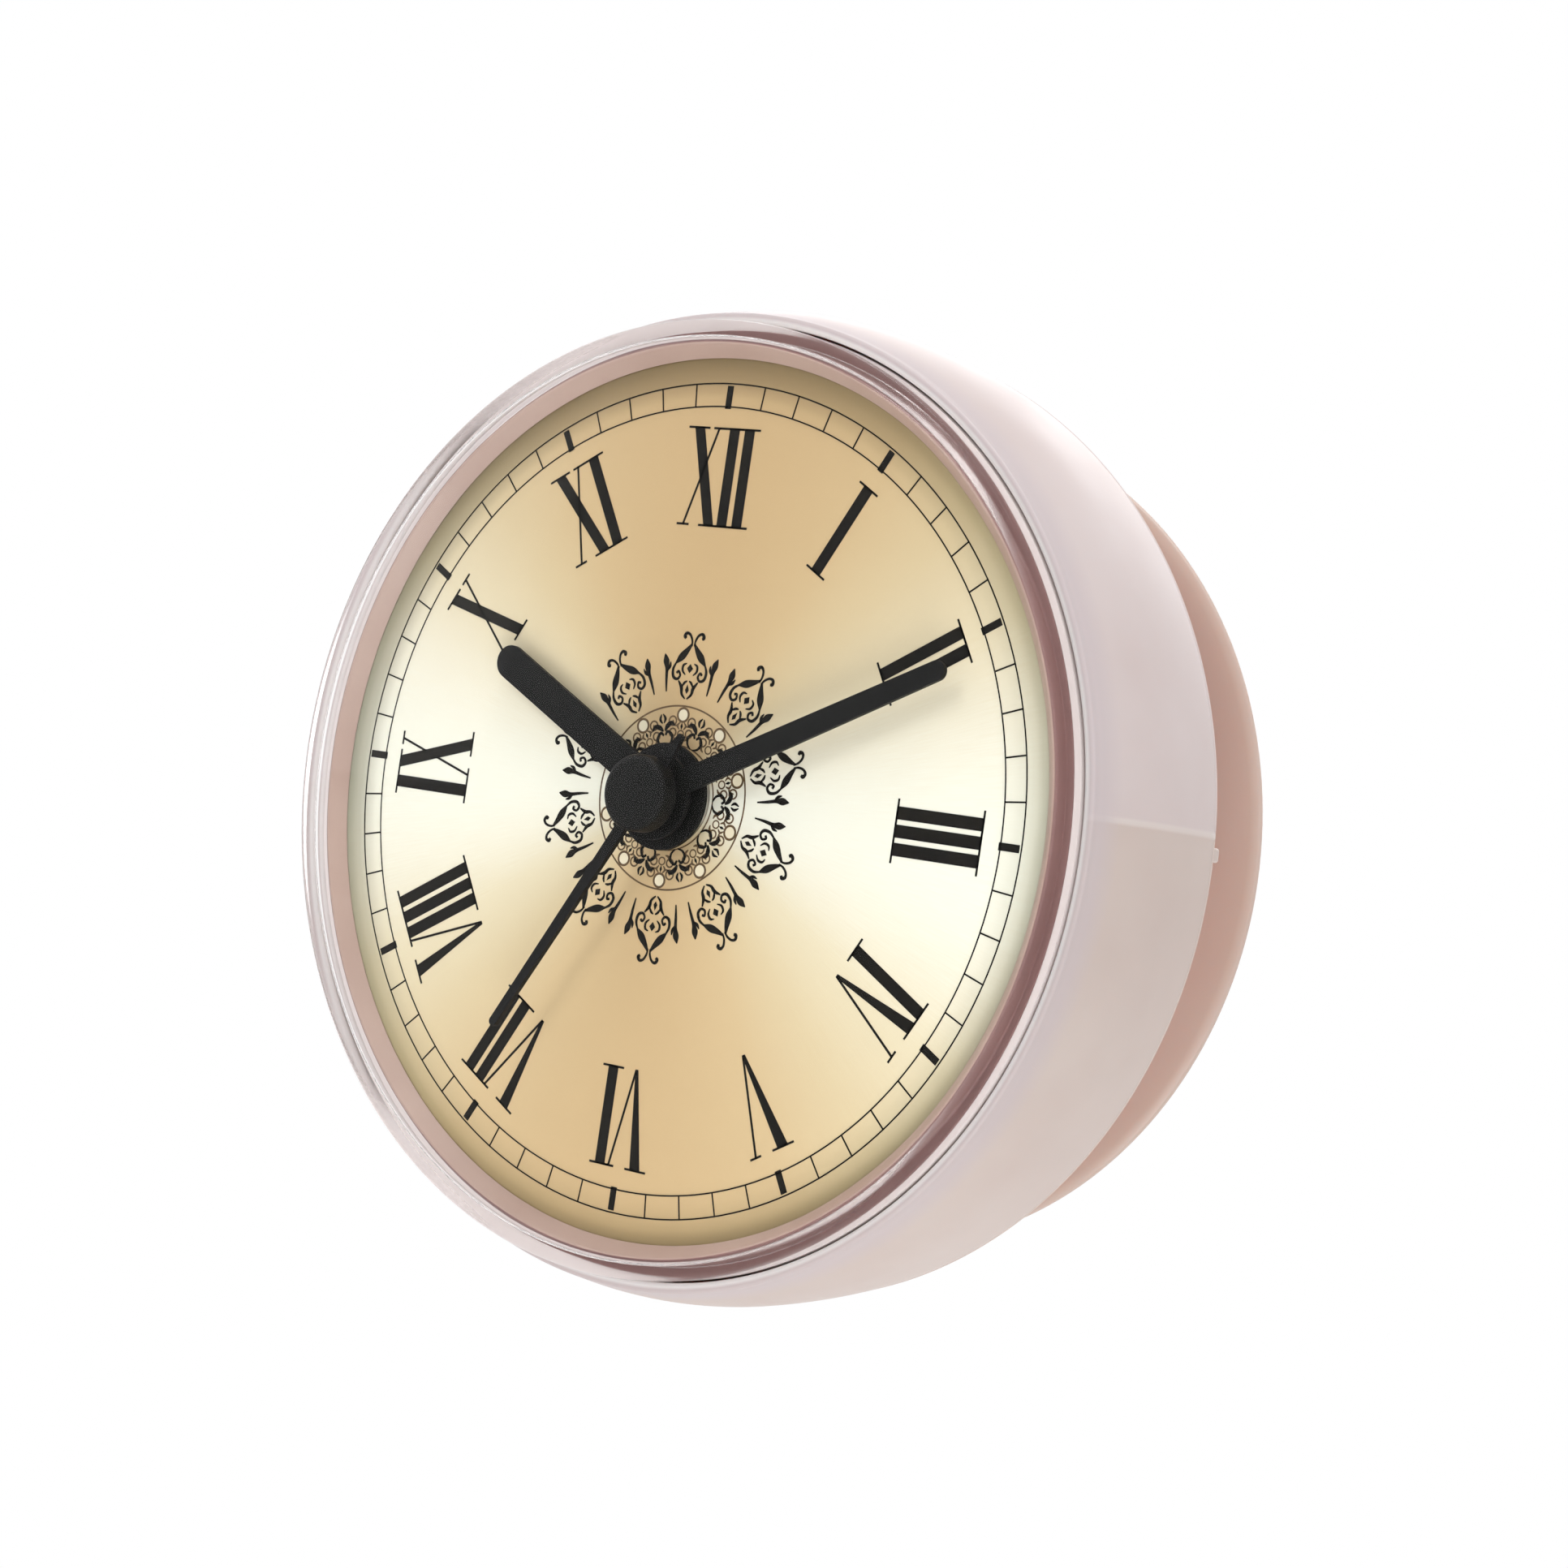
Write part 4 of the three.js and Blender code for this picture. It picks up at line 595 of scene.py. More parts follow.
def grooved(r, y, a):
    """Shallow grooves across the case's flange, between the places where the lens clips on."""
    if r < FLANGE_RADIUS - FLANGE_SKIN:
        return r
    return r - GROOVE_DEPTH * (round(math.degrees(a) / (360 / CASE_SIDES)) % SIDES_PER_GROOVE == 0)


case_bm = bmesh.new()
turned(case_bm, rounded([
    (DIAL_HOLE, CASE_FRONT, 0.1), (FLANGE_RADIUS, CASE_FRONT, 0.25), (FLANGE_RADIUS, FLANGE_BACK, 0.2),
    (CASE_RADIUS, FLANGE_BACK, 0.1), (CASE_RADIUS, CASE_BACK, 0.3), (COVER_BORE, CASE_BACK, 0.2),
    (COVER_BORE, SEAL_SEAT), (CASE_BORE, SEAL_SEAT, 0.15), (CASE_BORE, CASE_FLOOR, 0.4),
    (DIAL_HOLE, CASE_FLOOR, 0.1)], 4), CASE_SIDES, shape=grooved)
add_object("case_cup", case_bm, case_pink, "module", ["module_case"])


# Ink on the dial: strokes a fiftieth of a millimetre thick or less, black over bronze over cream.

BLACK_THICK, BRONZE_THICK, CREAM_THICK = 0.02, 0.014, 0.01
HEIGHT, BASE_RADIUS = 6.9, 18.8
STEM, HAIR, SERIF, OVERHANG = 0.86, 0.17, 0.15, 0.5


class Ink:
    """Flat strokes laid on the dial."""

    def __init__(self, thick=BLACK_THICK):
        self.bm = bmesh.new()
        self.top = DIAL_FRONT - thick

    def patch(self, outline):
        area = sum(a[0] * b[1] - b[0] * a[1] for a, b in zip(outline, outline[1:] + outline[:1]))
        prism(self.bm, outline if area > 0 else outline[::-1], DIAL_FRONT, self.top)

    def ribbon(self, points, widths, steps=6):
        """A stroke along a smooth curve whose width changes from point to point."""
        path = smooth_curve([(p[0], p[1], w) for p, w in zip(points, widths)], steps)
        left, right = [], []
        for i, (x, z, w) in enumerate(path):
            a = path[max(i - 1, 0)]
            b = path[min(i + 1, len(path) - 1)]
            along = Vector((b[0] - a[0], b[1] - a[1])).normalized()
            left.append((x - along.y * w / 2, z + along.x * w / 2))
            right.append((x + along.y * w / 2, z - along.x * w / 2))
        edges = [[self.bm.verts.new((x, y, z)) for x, z in side]
                 for side in (left, right) for y in (DIAL_FRONT, self.top)]
        for i in range(len(path) - 1):
            for one, two in ((0, 1), (1, 3), (3, 2), (2, 0)):
                self.bm.faces.new((edges[one][i], edges[one][i + 1], edges[two][i + 1], edges[two][i]))
        for i in (0, -1):
            self.bm.faces.new((edges[0][i], edges[1][i], edges[3][i], edges[2][i]))

    def pattern(self, strokes, side, turn):
        """Ribbons of (points, widths) on one side of an axis that is turned clockwise from twelve."""
        for points, widths in strokes:
            self.ribbon([clockwise(side * x, r, turn) for x, r in points], widths)

    def ring(self, radius, width, centre=(0.0, 0.0), sides=240):
        turned(self.bm, [(radius - width / 2, DIAL_FRONT), (radius + width / 2, DIAL_FRONT),
                         (radius + width / 2, self.top), (radius - width / 2, self.top)], sides, centre)

    def piece(self, name, ink=ink_black):
        add_object(name, self.bm, ink, "module")


def bar(x0, x1, y0, y1):
    return [(x0, y0), (x1, y0), (x1, y1), (x0, y1)]


def slant(low, high, low_width, high_width):
    return [(low, 0.0), (low + low_width, 0.0), (high + high_width, HEIGHT), (high, HEIGHT)]


def low_serif(x0, x1):
    return bar(x0, x1, 0, SERIF)


def top_serif(x0, x1):
    return bar(x0, x1, HEIGHT - SERIF, HEIGHT)


def letter(kind, x):
    """Strokes of one letter whose left stem starts at x."""
    if kind == "I":
        return [bar(x, x + STEM, 0, HEIGHT), low_serif(x - OVERHANG, x + STEM + OVERHANG),
                top_serif(x - OVERHANG, x + STEM + OVERHANG)]
    if kind == "V":
        return [slant(x + 1.38, x, 0.25, STEM + 0.04), slant(x + 1.46, x + 2.74, HAIR, HAIR),
                top_serif(x - OVERHANG, x + 1.35), top_serif(x + 2.35, x + 3.3)]
    return [slant(x + 1.98, x, STEM, STEM), slant(x + 0.05, x + 2.1, HAIR, HAIR),
            top_serif(x - OVERHANG, x + 1.35), top_serif(x + 1.7, x + 2.7),
            low_serif(x - 0.4, x + 0.65), low_serif(x + 1.5, x + 3.3)]


# The letters of each numeral from one to twelve, and where each starts.
NUMERALS = [
    [("I", 0)], [("I", 0), ("I", 1.28)], [("I", 0), ("I", 1.2), ("I", 2.4)], [("I", 0), ("V", 1.12)],
    [("V", 0)], [("V", 0), ("I", 3.15)], [("V", 0), ("I", 3.05), ("I", 4.27)],
    [("V", 0), ("I", 3.0), ("I", 4.2), ("I", 5.4)], [("I", 0), ("X", 1.4)], [("X", 0)],
    [("X", 0), ("I", 3.2)], [("X", 0), ("I", 3.1), ("I", 4.4)],
]
numerals = Ink()
for hour, letters in enumerate(NUMERALS, 1):
    strokes = [s for kind, x in letters for s in letter(kind, x)]
    every = [p[0] for s in strokes for p in s]
    middle = (min(every) + max(every)) / 2
    for stroke in strokes:
        numerals.patch([clockwise(x - middle, BASE_RADIUS + y, hour * 30) for x, y in stroke])
numerals.piece("dial_numerals")

TRACK_IN, TRACK_OUT, TRACK_LINE = 27.15, 28.75, 0.1
HOUR_HALF, MINUTE_HALF, HOUR_SHIFT = 0.26, 0.055, 0.15
track = Ink()
track.ring(TRACK_IN, TRACK_LINE)
track.ring(TRACK_OUT, TRACK_LINE)
for minute in range(60):
    half, shift = (HOUR_HALF, HOUR_SHIFT) if minute % 5 == 0 else (MINUTE_HALF, 0.0)
    mark = bar(-half, half, TRACK_IN - shift, TRACK_OUT - shift)
    track.patch([clockwise(x, z, minute * 6) for x, z in mark])
track.piece("dial_minute_track")

# Traditional palmette wreath round the hands: ten palmettes, a thin ring with beads, and lace inside. Each
# stroke has points (aside, radius) and widths.
PALMETTES = 10
STEP = 360 / PALMETTES
PALMETTE = [
    ([(0.1, 10.68), (0.4, 10.25), (0.85, 9.72), (1.28, 9.25)], [0.12, 0.36, 0.54, 0.14]),
    ([(0.1, 10.5), (0.16, 10.92), (0.38, 11.28), (0.68, 11.38), (0.84, 11.16), (0.7, 11.02)],
     [0.12, 0.16, 0.18, 0.22, 0.26, 0.2]),
    ([(1.28, 9.25), (1.46, 8.8), (1.36, 8.3), (1.0, 8.15), (0.78, 8.42), (0.95, 8.7), (1.12, 8.56)],
     [0.14, 0.2, 0.22, 0.19, 0.17, 0.17, 0.18]),
    ([(1.78, 7.2), (1.92, 8.0), (2.02, 8.8), (2.16, 9.32), (2.34, 9.8)], [0.1, 0.2, 0.28, 0.5, 0.07]),
    ([(1.98, 8.6), (1.78, 8.95), (1.76, 9.3)], [0.08, 0.22, 0.07]),
    ([(0.08, 6.85), (0.42, 7.18), (0.52, 7.62), (0.86, 8.06)], [0.1, 0.2, 0.26, 0.1]),
    ([(0.52, 7.62), (0.3, 7.95), (0.08, 8.1)], [0.1, 0.18, 0.09]),
    ([(0.34, 8.5), (0.62, 8.78), (0.6, 9.15), (0.32, 9.3)], [0.08, 0.17, 0.17, 0.08]),
]
LACE = [
    ([(0.1, 3.6), (0.5, 3.85), (0.62, 4.3), (0.3, 4.62), (0.07, 4.4)], [0.09, 0.16, 0.2, 0.2, 0.15]),
    ([(0.08, 4.7), (0.34, 5.0), (0.72, 5.14), (0.95, 4.9)], [0.12, 0.34, 0.28, 0.08]),
    ([(0.07, 5.9), (0.22, 5.55), (0.07, 5.25)], [0.07, 0.2, 0.08]),
]
LACE_FILL = [
    ([(0.38, 4.95), (0.66, 5.02), (0.84, 5.32)], [0.07, 0.18, 0.07]),
    ([(0.24, 3.98), (0.52, 4.06), (0.66, 4.36)], [0.07, 0.18, 0.07]),
    ([(0.17, 5.22), (0.36, 4.98), (0.2, 4.72)], [0.07, 0.16, 0.07]),
]
BEAD_CIRCLE, BEAD_RADIUS, BEAD_SIDES = 5.74, 0.4, 20
# Rings of the lace: radius and width, and of the small ones the circle they lie on and their sides too.
WREATH_RINGS = ((6.35, 0.12), (3.62, 0.1))
AXIS_RINGS = ((0.47, 0.16, BEAD_CIRCLE, 28), (0.26, 0.1, 4.4, 20))
SIDE_RINGS = ((0.32, 0.12, 5.32, 20), (0.28, 0.12, 4.52, 20))
# Diamonds on each palmette's axis: radius of the low point, the waist and the high point, and half width.
DIAMONDS = ((8.64, 8.96, 9.28, 0.26), (7.2, 7.45, 7.85, 0.16), (4.7, 4.95, 5.2, 0.1))

beads = Ink(CREAM_THICK)
bead = arc((0, BEAD_CIRCLE), BEAD_RADIUS, 0, 360, BEAD_SIDES)[:-1]
for k in range(PALMETTES):
    beads.patch([clockwise(x, r, STEP * k) for x, r in bead])
beads.piece("dial_beads", ink_cream)
lace = Ink(BRONZE_THICK)
for radius, width in WREATH_RINGS:
    lace.ring(radius, width)
for k in range(PALMETTES):
    turn = STEP * k
    for radius, width, circle, sides in AXIS_RINGS:
        lace.ring(radius, width, clockwise(0, circle, turn), sides)
    for side in (1, -1):
        for radius, width, circle, sides in SIDE_RINGS:
            lace.ring(radius, width, clockwise(0, circle, turn + STEP / 4 * side), sides)
        lace.pattern(LACE_FILL, side, turn)
lace.piece("dial_lace", ink_bronze)
ornament = Ink()
for k in range(PALMETTES):
    turn = STEP * k
    for side in (1, -1):
        ornament.pattern(PALMETTE, side, turn)
        ornament.pattern(LACE, side, turn + STEP / 2)
    for low, waist, high, half in DIAMONDS:
        diamond = ((0, low), (half, waist), (0, high), (-half, waist))
        ornament.patch([clockwise(x, r, turn) for x, r in diamond])
ornament.piece("dial_ornament")


# Hands.

HAND_THICK, HAND_BEVEL, TAIL_START = 0.4, 0.12, -0.1
SECOND_BACK, SECOND_BEVEL = -30.8, 0.08
DISC_FRONT, DISC_RADIUS, DISC_ROUND = -32.3, 2.65, 0.5
ARBOR_HOLE, ARBOR_DEPTH = 0.55, 0.95


def blade(root, tip, length, back, angle, tail=None):
    """A hand's flat blade with a rounded tip, turned clockwise from twelve. A tail has a length, the width
    at its end and the width at its root."""
    right = [(root / 2, 0.0), (tip / 2, length - tip / 2)]
    if tail:
        reach, end_width, root_width = tail
        right = [(end_width / 2, -reach), (root_width / 2, TAIL_START)] + right
    cap = arc((0, length - tip / 2), tip / 2, 0, 180, 12)[1:-1]
    left = [(-x, z) for x, z in right[::-1]]
    return plate([clockwise(x, z, angle) for x, z in right + cap + left], back, back - HAND_THICK)


def hand(name, node, body, hub, hole, back, **shape):
    """A plain hand, with a round hub that is open for its arbor."""
    front = back - HAND_THICK
    whole = combined(rod(hub, back, front), blade(back=back, **shape), "UNION")
    whole = combined(whole, rod(hole, back + PAST, front - PAST, sides=48), "DIFFERENCE")
    bevelled(add_object(name, whole, hand_black, body, [node]), HAND_BEVEL)


hand("hour_hand_arm", "hour_hand", "hour_train", hub=3.7, hole=1.95, back=-28.7, angle=297,
     root=2.4, tip=2.4, length=18.6)
hand("minute_hand_arm", "minute_hand", "minute_train", hub=3.1, hole=1.25, back=-29.75, angle=64,
     root=1.75, tip=1.35, length=24.8)
disc = cutter(rounded([(0, DISC_FRONT), (DISC_RADIUS, DISC_FRONT, DISC_ROUND), (DISC_RADIUS, SECOND_BACK),
                       (0, SECOND_BACK)]))
arm = blade(root=0.9, tip=0.63, length=20.4, back=SECOND_BACK, angle=211, tail=(5.0, 0.36, 2.0))
second = combined(disc, arm, "UNION")
arbor = rod(ARBOR_HOLE, SECOND_BACK + PAST, SECOND_BACK - ARBOR_DEPTH, sides=32)
second = combined(second, arbor, "DIFFERENCE")
bevelled(add_object("second_hand_arm", second, hand_black, "second_train", ["second_hand"]),
         SECOND_BEVEL)


# Holder: barrel shell with its moulding seam at three and nine, and the suction cup.

SHELL_BELLY, FRONT_BULGE, REAR_BULGE, SHELL_SKIN = -20.8, 0.0225, 0.0086, 0.3
SEAM_FRONT, SEAM_BACK, SEAM_RISE, SEAM_SPREAD = SHELL_MOUTH + 0.3, SHELL_BACK - 0.2, 0.1, 0.28
BARREL_START, BARREL_LENGTH, BARREL_STEPS = SHELL_MOUTH + 0.35, 13.75, 40
BORE_FRONT, DRAWN_IN, LIP_INSIDE, LIP_OUTSIDE, REAR_TRIM = -27.0, -27.15, 0.25, 0.3, 0.05


def shell_outside(y):
    """Radius of the barrel, which narrows faster towards its mouth."""
    off = y - SHELL_BELLY
    bulge = FRONT_BULGE if off < 0 else REAR_BULGE
    return SHELL_WIDEST - bulge * off * off


def seam(r, y, a):
    """A fine raised line along the shell's sides."""
    if r < shell_outside(y) - SHELL_SKIN or y < SEAM_FRONT or y > SEAM_BACK:
        return r
    off = abs(math.sin(a - SEAM_TURN)) * r
    return r - SEAM_RISE + SEAM_RISE * max(0.0, 1 - off / SEAM_SPREAD)


shell_bm = bmesh.new()
places = [BARREL_START + BARREL_LENGTH / BARREL_STEPS * k for k in range(BARREL_STEPS + 1)]
outer = [(shell_outside(y), y) for y in places]
profile = [(SHELL_BORE, SHELL_LEDGE), (SHELL_BORE, BORE_FRONT), (MOUTH_BORE, DRAWN_IN),
           (MOUTH_BORE, SHELL_MOUTH + LIP_INSIDE)]
profile += arc((MOUTH_BORE + LIP_INSIDE, SHELL_MOUTH + LIP_INSIDE), LIP_INSIDE, 180, 270, 6)[1:]
profile += arc((SHELL_BORE + LIP_OUTSIDE, SHELL_MOUTH + LIP_OUTSIDE), LIP_OUTSIDE, 270, 360, 6)[:-1]
profile += outer
profile += rounded([
    outer[-1], (SHELL_REAR - REAR_TRIM, SHELL_BACK, 0.35), (SHELL_HOLE, SHELL_BACK, 0.2),
    (SHELL_HOLE, SHELL_FLOOR, 0.2), (SHELL_INNER, SHELL_FLOOR, 1.0), (SHELL_INNER, SHELL_LEDGE, 0.15)])[1:]
turned(shell_bm, profile, 720, shape=seam)
add_object("holder_shell", shell_bm, shell_pink, "holder", ["body_shell"], sharp=45)

# Stub of the moulding gate on the shell's rear edge, beside the seam.
GATE_TURN, GATE_IN, GATE_OUT, GATE_HALF, GATE_BACK, GATE_SUNK = 2.4, 33.7, 34.35, 0.5, -12.6, 0.1
stub = [clockwise(r, side, -GATE_TURN) for r, side in bar(GATE_IN, GATE_OUT, -GATE_HALF, GATE_HALF)]
gate_bm = plate(stub, GATE_BACK, SHELL_BACK - GATE_SUNK)
bevelled(add_object("shell_gate_stub", gate_bm, shell_pink, "holder"), width=0.2)

# The cup's profile: the button inside the shell and its neck through the rear wall, the bell, its rim on
# the room's wall, and the hollow.
CUP_BUTTON = [(0, -16.8), (9.5, -16.8, 0.6), (9.5, -15.4, 0.3), (6.0, -15.4, 0.2), (6.0, -13.2, 0.2),
              (10.0, -13.2, 0.4), (10.0, -11.4)]
CUP_BELL = [(10.6, -11.1), (16.1, -6.88), (23.5, -3.6), (30.85, -1.05)]
CUP_RIM = [(30.97, -0.9), (31.0, -0.75), (30.95, -0.6), (30.4, 0.0)]
CUP_HOLLOW = [(28.4, 0.0), (23.3, -1.3), (14.2, -4.13), (5.0, -5.6), (0.0, -5.9)]
# Ridges in the hollow: radius, half width and height of two sealing lips and of the moulding mark at the
# middle.
CUP_RIDGES = ((26.4, 0.3, 0.16), (24.6, 0.3, 0.16), (2.2, 0.35, 0.18))


def ridged(r, y):
    """A point of the hollow, raised where a ridge runs."""
    return r, y + sum(high * math.exp(-((r - at) / wide) ** 2) for at, wide, high in CUP_RIDGES)


cup_bm = bmesh.new()
profile = rounded(CUP_BUTTON) + smooth_curve(CUP_BELL, 12) + CUP_RIM
profile += [ridged(r, y) for r, y in smooth_curve(CUP_HOLLOW, 36)]
turned(cup_bm, profile, 192)
add_object("suction_bell", cup_bm, cup_salmon, "holder", ["suction_cup"], sharp=50)


# Back of the module, seen when it is pulled out of its holder.

NOTCH_SPREAD, LUG_SPREAD, DOOR_THROW = 32, 26, 60  # in degrees
NOTCH_ROOT, LUG_ROOT = 4.0, 6.8
KNOB_HOLE, SCREW_HOLE, WELL_RADIUS, WELL_DEPTH = 2.95, 1.0, 1.9, 0.65
HEAD_RADIUS, HEAD_THICK, SHANK_RADIUS, SCREW_TIP = 1.7, 0.6, 0.8, -23.6
SLOT_HALF, SLOT_DEPTH = 0.25, 0.35
BEHIND = CASE_BACK + PAST
THROUGH = (BEHIND, COVER_FRONT - PAST)


def lug(reach, spread, turn, root):
    """Outline of a bayonet lug or of the notch it passes."""
    first, last = turn - spread / 2, turn + spread / 2
    return arc(HATCH, reach, first, last, 8) + arc(HATCH, root, last, first, 8)


cover = rod(COVER_RADIUS, CASE_BACK, COVER_FRONT, sides=192)
cover = combined(cover, rod(HATCH_RADIUS, *THROUGH, HATCH), "DIFFERENCE")
cover = combined(cover, rod(KNOB_HOLE, *THROUGH, KNOB), "DIFFERENCE")
for side in (0, 180):
    notch = lug(NOTCH_REACH, NOTCH_SPREAD, side - DOOR_THROW, NOTCH_ROOT)
    cover = combined(cover, plate(notch, *THROUGH), "DIFFERENCE")
for k in range(3):
    a = math.radians(90 + 120 * k)
    at = (SCREW_CIRCLE * math.cos(a), SCREW_CIRCLE * math.sin(a))
    cover = combined(cover, rod(SCREW_HOLE, *THROUGH, at, 32), "DIFFERENCE")
    cover = combined(cover, rod(WELL_RADIUS, BEHIND, CASE_BACK - WELL_DEPTH, at, 48), "DIFFERENCE")
    head = cutter([
        (0, CASE_BACK), (HEAD_RADIUS, CASE_BACK), (HEAD_RADIUS, CASE_BACK - HEAD_THICK),
        (SHANK_RADIUS, CASE_BACK - HEAD_THICK), (SHANK_RADIUS, SCREW_TIP), (0, SCREW_TIP)], 48, at)
    slot = [(at[0] + x, at[1] + z) for x, z in bar(-WELL_RADIUS, WELL_RADIUS, -SLOT_HALF, SLOT_HALF)]
    head = combined(head, plate(slot, BEHIND, CASE_BACK - SLOT_DEPTH), "DIFFERENCE")
    bevelled(add_object(f"cover_screw_head_{k + 1}", head, steel, "module",
                        [f"cover_screw_{k + 1}"]), width=0.1)
bevelled(add_object("cover_plate", cover, cover_pink, "module", ["module_cover"]), width=0.15)

# Battery door: a cup with a coin slot and two bayonet lugs.
DOOR_LIP, LUG_BACK, DOOR_BORE, COIN_LENGTH, COIN_WIDTH, COIN_DEPTH = -19.7, -19.1, 6.4, 9.5, 1.4, 0.7
door = cutter(rounded([
    (0, COVER_FRONT), (DOOR_BORE, COVER_FRONT, 0.2), (DOOR_BORE, DOOR_LIP, 0.1),
    (DOOR_RADIUS, DOOR_LIP, 0.1), (DOOR_RADIUS, CASE_BACK, 0.3), (0, CASE_BACK)]), 128, HATCH)
for side in (0, 180):
    wing = plate(lug(LUG_REACH, LUG_SPREAD, side, LUG_ROOT), LUG_BACK, DOOR_LIP)
    door = combined(door, wing, "UNION")
half = COIN_LENGTH / 2 - COIN_WIDTH / 2
coin = arc((HATCH[0] + half, HATCH[1]), COIN_WIDTH / 2, -90, 90, 12)
coin += arc((HATCH[0] - half, HATCH[1]), COIN_WIDTH / 2, 90, 270, 12)
door = combined(door, plate(coin, BEHIND, CASE_BACK - COIN_DEPTH), "DIFFERENCE")
bevelled(add_object("battery_door_disc", door, cover_pink, "door", ["battery_door"]),
         width=0.1)

# Setting knob: a ridged disc with a dished face.
KNOB_BACK, KNOB_FRONT, KNOB_RADIUS, KNOB_BORE, BORE_END = -17.7, -18.7, 2.5, 0.52, -18.18
RIDGES, RIDGE_HEIGHT, RIDGE_POWER, KNOB_SIDES = 12, 0.25, 0.7, 144
DISH_DEPTH, DISH_SLOPE = 0.25, ((0.6, -0.23), (1.3, -0.12), (1.9, 0.05))
outline = []
for k in range(KNOB_SIDES):
    a = math.radians(360 / KNOB_SIDES * k)
    r = KNOB_RADIUS + RIDGE_HEIGHT * (0.5 + 0.5 * math.cos(RIDGES * a)) ** RIDGE_POWER
    outline.append((KNOB[0] + r * math.cos(a), KNOB[1] + r * math.sin(a)))
slope = smooth_curve([(r, KNOB_BACK + y) for r, y in DISH_SLOPE], 4)
past = KNOB_BACK + PAST
dish = cutter([(0, KNOB_BACK - DISH_DEPTH)] + slope + [(slope[-1][0], past), (0, past)], 64, KNOB)
knob = combined(plate(outline, KNOB_BACK, KNOB_FRONT), dish, "DIFFERENCE")
knob = combined(knob, rod(KNOB_BORE, BORE_END, KNOB_FRONT - PAST, KNOB, 32), "DIFFERENCE")
bevelled(add_object("setting_knob_disc", knob, natural_plastic, "motion",
                    ["setting_knob"]), width=0.1)

# Solids that show as they are, all inside the module.
FINISHES = {
    "case_pink": cover_pink, "seal_mauve": seal_mauve, "steel": steel, "brass": brass, "magnet": magnet,
    "natural_plastic": natural_plastic, "copper": copper_wire, "board_green": board_green,
    "chip_black": chip_black, "hand_black": hand_black,
}
slots = {s["node"]: s["material_slot"] for s in frame["record"]["subparts"]}
for name, node in frame["nodes"].items():
    if node.hide_render:
        continue
    node.data.materials.clear()
    node.data.materials.append(FINISHES.get(slots.get(name), natural_plastic))


# Camera at the photograph's viewing angle. Its place is measured in radii of the minute track.

AZIMUTH, ELEVATION, ROLL = 36.798, -0.359, 8.311
FOCAL_LENGTH, SENSOR = 74.447, 36
UNIT = 0.028
ASIDE, ABOVE, AWAY = 0.274 * UNIT, 0.034 * UNIT, 7.968 * UNIT


def camera_axes(azimuth, elevation, roll):
    a, e, r = (math.radians(v) for v in (azimuth, elevation, roll))
    back = Vector((math.sin(a) * math.cos(e), -math.cos(a) * math.cos(e), math.sin(e)))
    right = Vector((0, 0, 1)).cross(back).normalized()
    up = back.cross(right)
    return right * math.cos(r) + up * math.sin(r), up * math.cos(r) - right * math.sin(r), back


right, up, back = camera_axes(AZIMUTH, ELEVATION, ROLL)
camera_data = bpy.data.cameras.new("camera")
camera_data.sensor_width = SENSOR
camera_data.lens = FOCAL_LENGTH
camera_data.clip_start = 0.01
camera = bpy.data.objects.new("camera", camera_data)
scene.collection.objects.link(camera)
target = Vector((0, DIAL_FRONT * MM, 0))
eye = target + right * ASIDE + up * ABOVE + back * AWAY
camera.matrix_world = Matrix.Translation(eye) @ Matrix((right, up, back)).transposed().to_4x4()
scene.camera = camera


# Plain pale floor, even white surroundings and soft lamps.

WHITE = (1, 1, 1, 1)
PLAIN_LEVEL, WHITE_LEVEL = 0.42, 1.0
FLOOR_RADIUS, FLOOR_HEIGHT, FLOOR_GLOW = 0.9, -0.7, 0.4
AIM = Vector((0, -0.02, 0))

world = bpy.data.worlds.new("surroundings")
scene.world = world
world.use_nodes = True
tree = world.node_tree


def add_math(operation, *values):
    made = tree.nodes.new("ShaderNodeMath")
    made.operation = operation
    for socket, value in zip(made.inputs, values):
        if isinstance(value, bpy.types.NodeSocket):
            tree.links.new(value, socket)
        else:
            socket.default_value = value
    return made.outputs[0]


# White to the camera, in reflections and through clear parts, and a plain level where it lights the object.
path = tree.nodes.new("ShaderNodeLightPath")
mirrored = add_math("MAXIMUM", path.outputs["Is Glossy Ray"], path.outputs["Is Transmission Ray"])
direct = add_math("MULTIPLY", mirrored, add_math("LESS_THAN", path.outputs["Diffuse Depth"], 0.5))
seen = add_math("MAXIMUM", path.outputs["Is Camera Ray"], direct)
plain = tree.nodes["Background"]
plain.inputs["Color"].default_value = WHITE
plain.inputs["Strength"].default_value = PLAIN_LEVEL
bright = tree.nodes.new("ShaderNodeBackground")
bright.inputs["Color"].default_value = WHITE
bright.inputs["Strength"].default_value = WHITE_LEVEL
blend = tree.nodes.new("ShaderNodeMixShader")
tree.links.new(seen, blend.inputs[0])
tree.links.new(plain.outputs[0], blend.inputs[1])
tree.links.new(bright.outputs[0], blend.inputs[2])
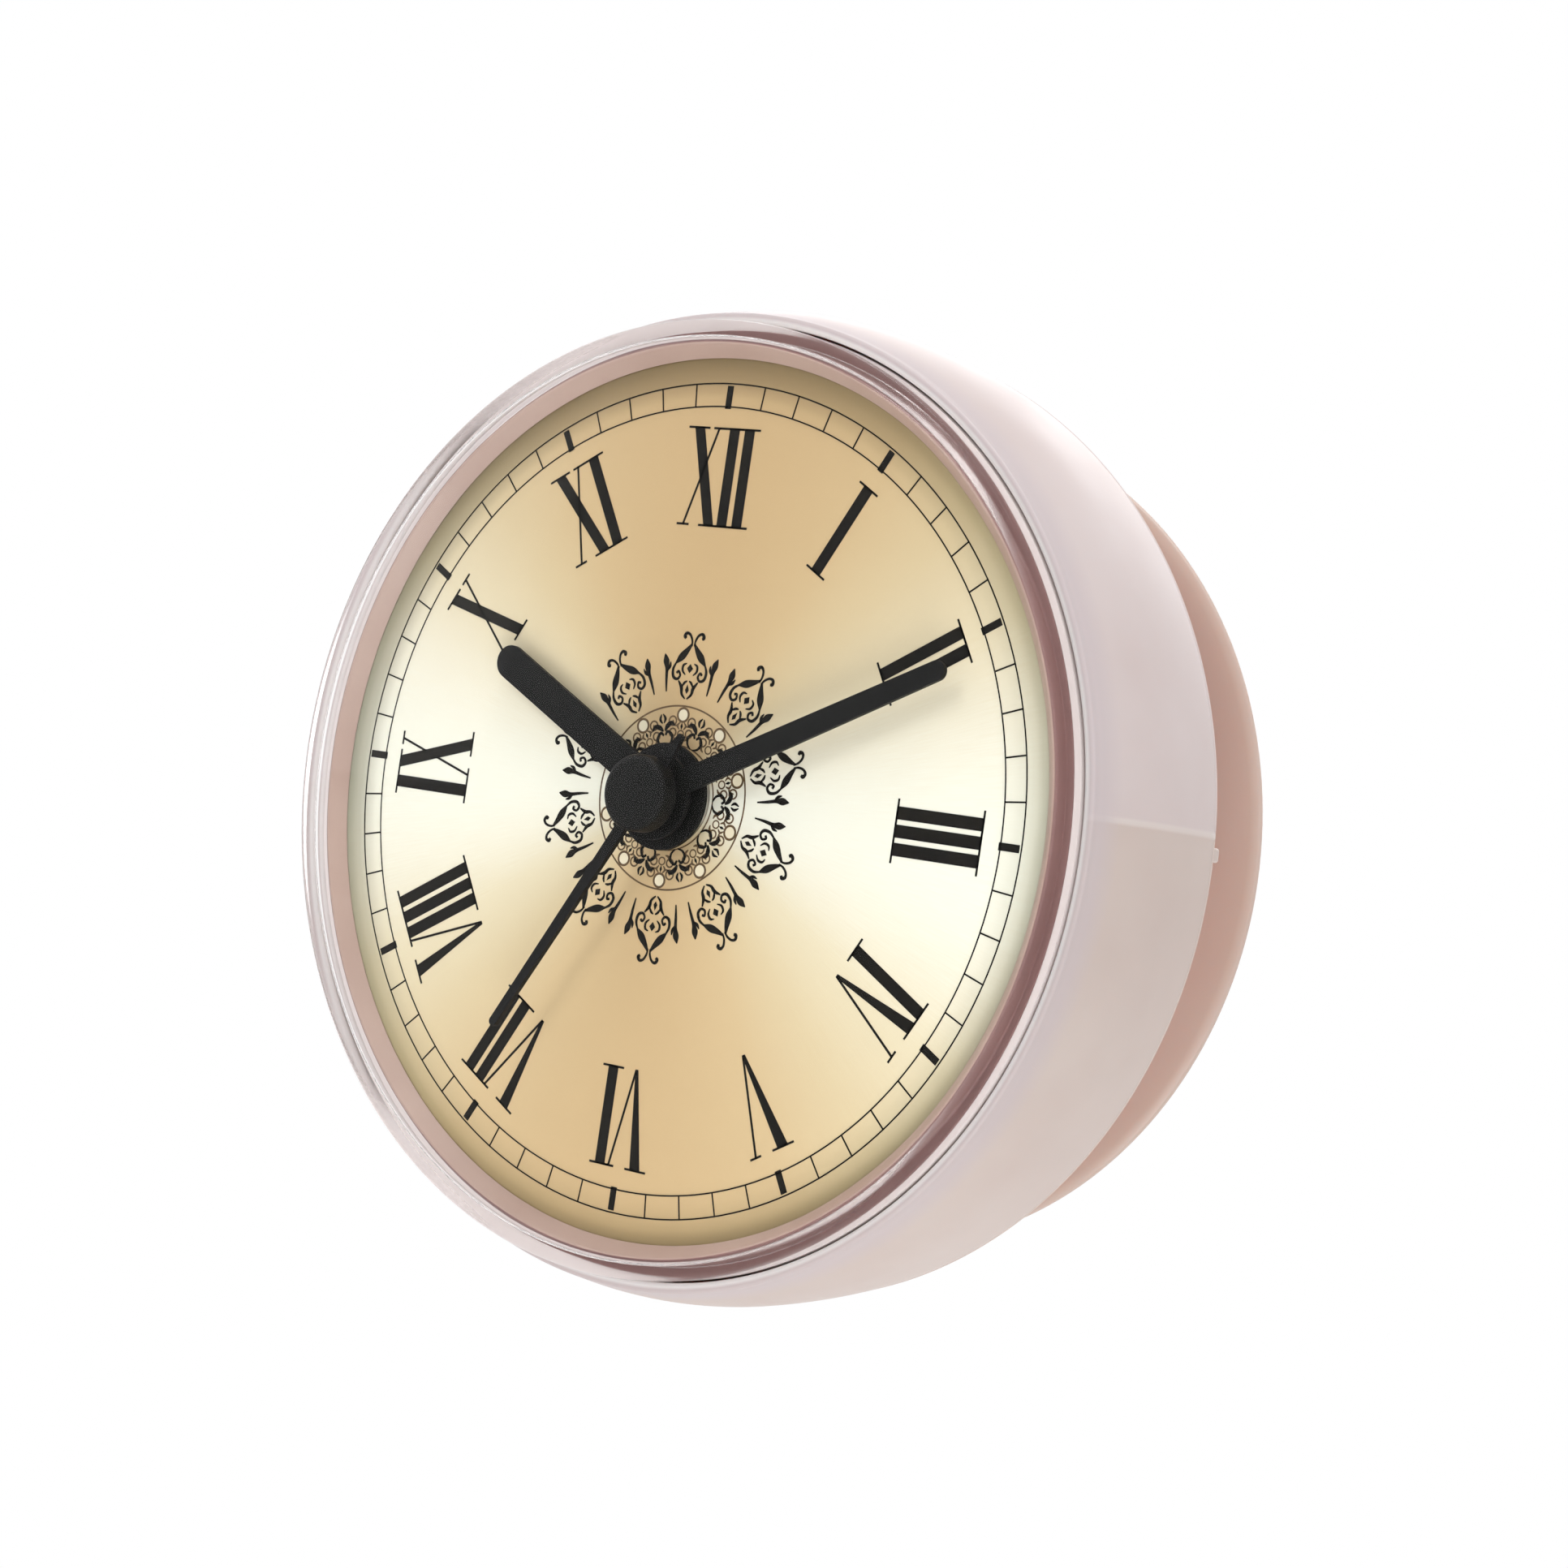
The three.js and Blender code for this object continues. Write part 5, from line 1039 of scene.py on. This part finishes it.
tree.links.new(blend.outputs[0], tree.nodes["World Output"].inputs["Surface"])

floor_bm = bmesh.new()
bmesh.ops.create_circle(floor_bm, cap_ends=True, segments=96, radius=FLOOR_RADIUS)
floor_mesh = bpy.data.meshes.new("floor")
floor_bm.to_mesh(floor_mesh)
floor_bm.free()
floor = bpy.data.objects.new("floor", floor_mesh)
floor.location = (0, 0, FLOOR_HEIGHT)
scene.collection.objects.link(floor)
floor_material = bpy.data.materials.new("floor_white")
floor_material.use_nodes = True
floor_shader = floor_material.node_tree.nodes["Principled BSDF"]
floor_shader.inputs["Base Color"].default_value = (0.95, 0.95, 0.95, 1)
floor_shader.inputs["Roughness"].default_value = 0.8
# The camera sees the floor as white as the surroundings, apart from shadows.
floor_tree = floor_material.node_tree
floor_path = floor_tree.nodes.new("ShaderNodeLightPath")
floor_glow = floor_tree.nodes.new("ShaderNodeMath")
floor_glow.operation = "MULTIPLY"
floor_glow.inputs[1].default_value = FLOOR_GLOW
floor_tree.links.new(floor_path.outputs["Is Camera Ray"], floor_glow.inputs[0])
floor_shader.inputs["Emission Color"].default_value = WHITE
floor_tree.links.new(floor_glow.outputs[0], floor_shader.inputs["Emission Strength"])
floor_mesh.materials.append(floor_material)


def lamp(name, place, size, power):
    """A square lamp of this size in metres, aimed at the clock."""
    data = bpy.data.lights.new(name, "AREA")
    data.shape = "RECTANGLE"
    data.size = data.size_y = size
    data.energy = power
    item = bpy.data.objects.new(name, data)
    item.location = place
    item.rotation_euler = (AIM - Vector(place)).to_track_quat("-Z", "Y").to_euler()
    scene.collection.objects.link(item)


lamp("key", (-0.09, -0.94, 0.66), 0.35, 1.2)
lamp("left", (-0.9, -0.3, 0.35), 0.8, 1.6)
lamp("low", (0.35, -0.4, -0.5), 0.4, 1.9)
lamp("side", (0.95, -0.3, 0.05), 0.8, 1.5)
lamp("back", (-0.35, 0.95, 0.35), 0.8, 3.5)
lamp("top", (0.2, -0.06, 1.2), 0.8, 8.5)

scene.view_settings.view_transform = "Standard"
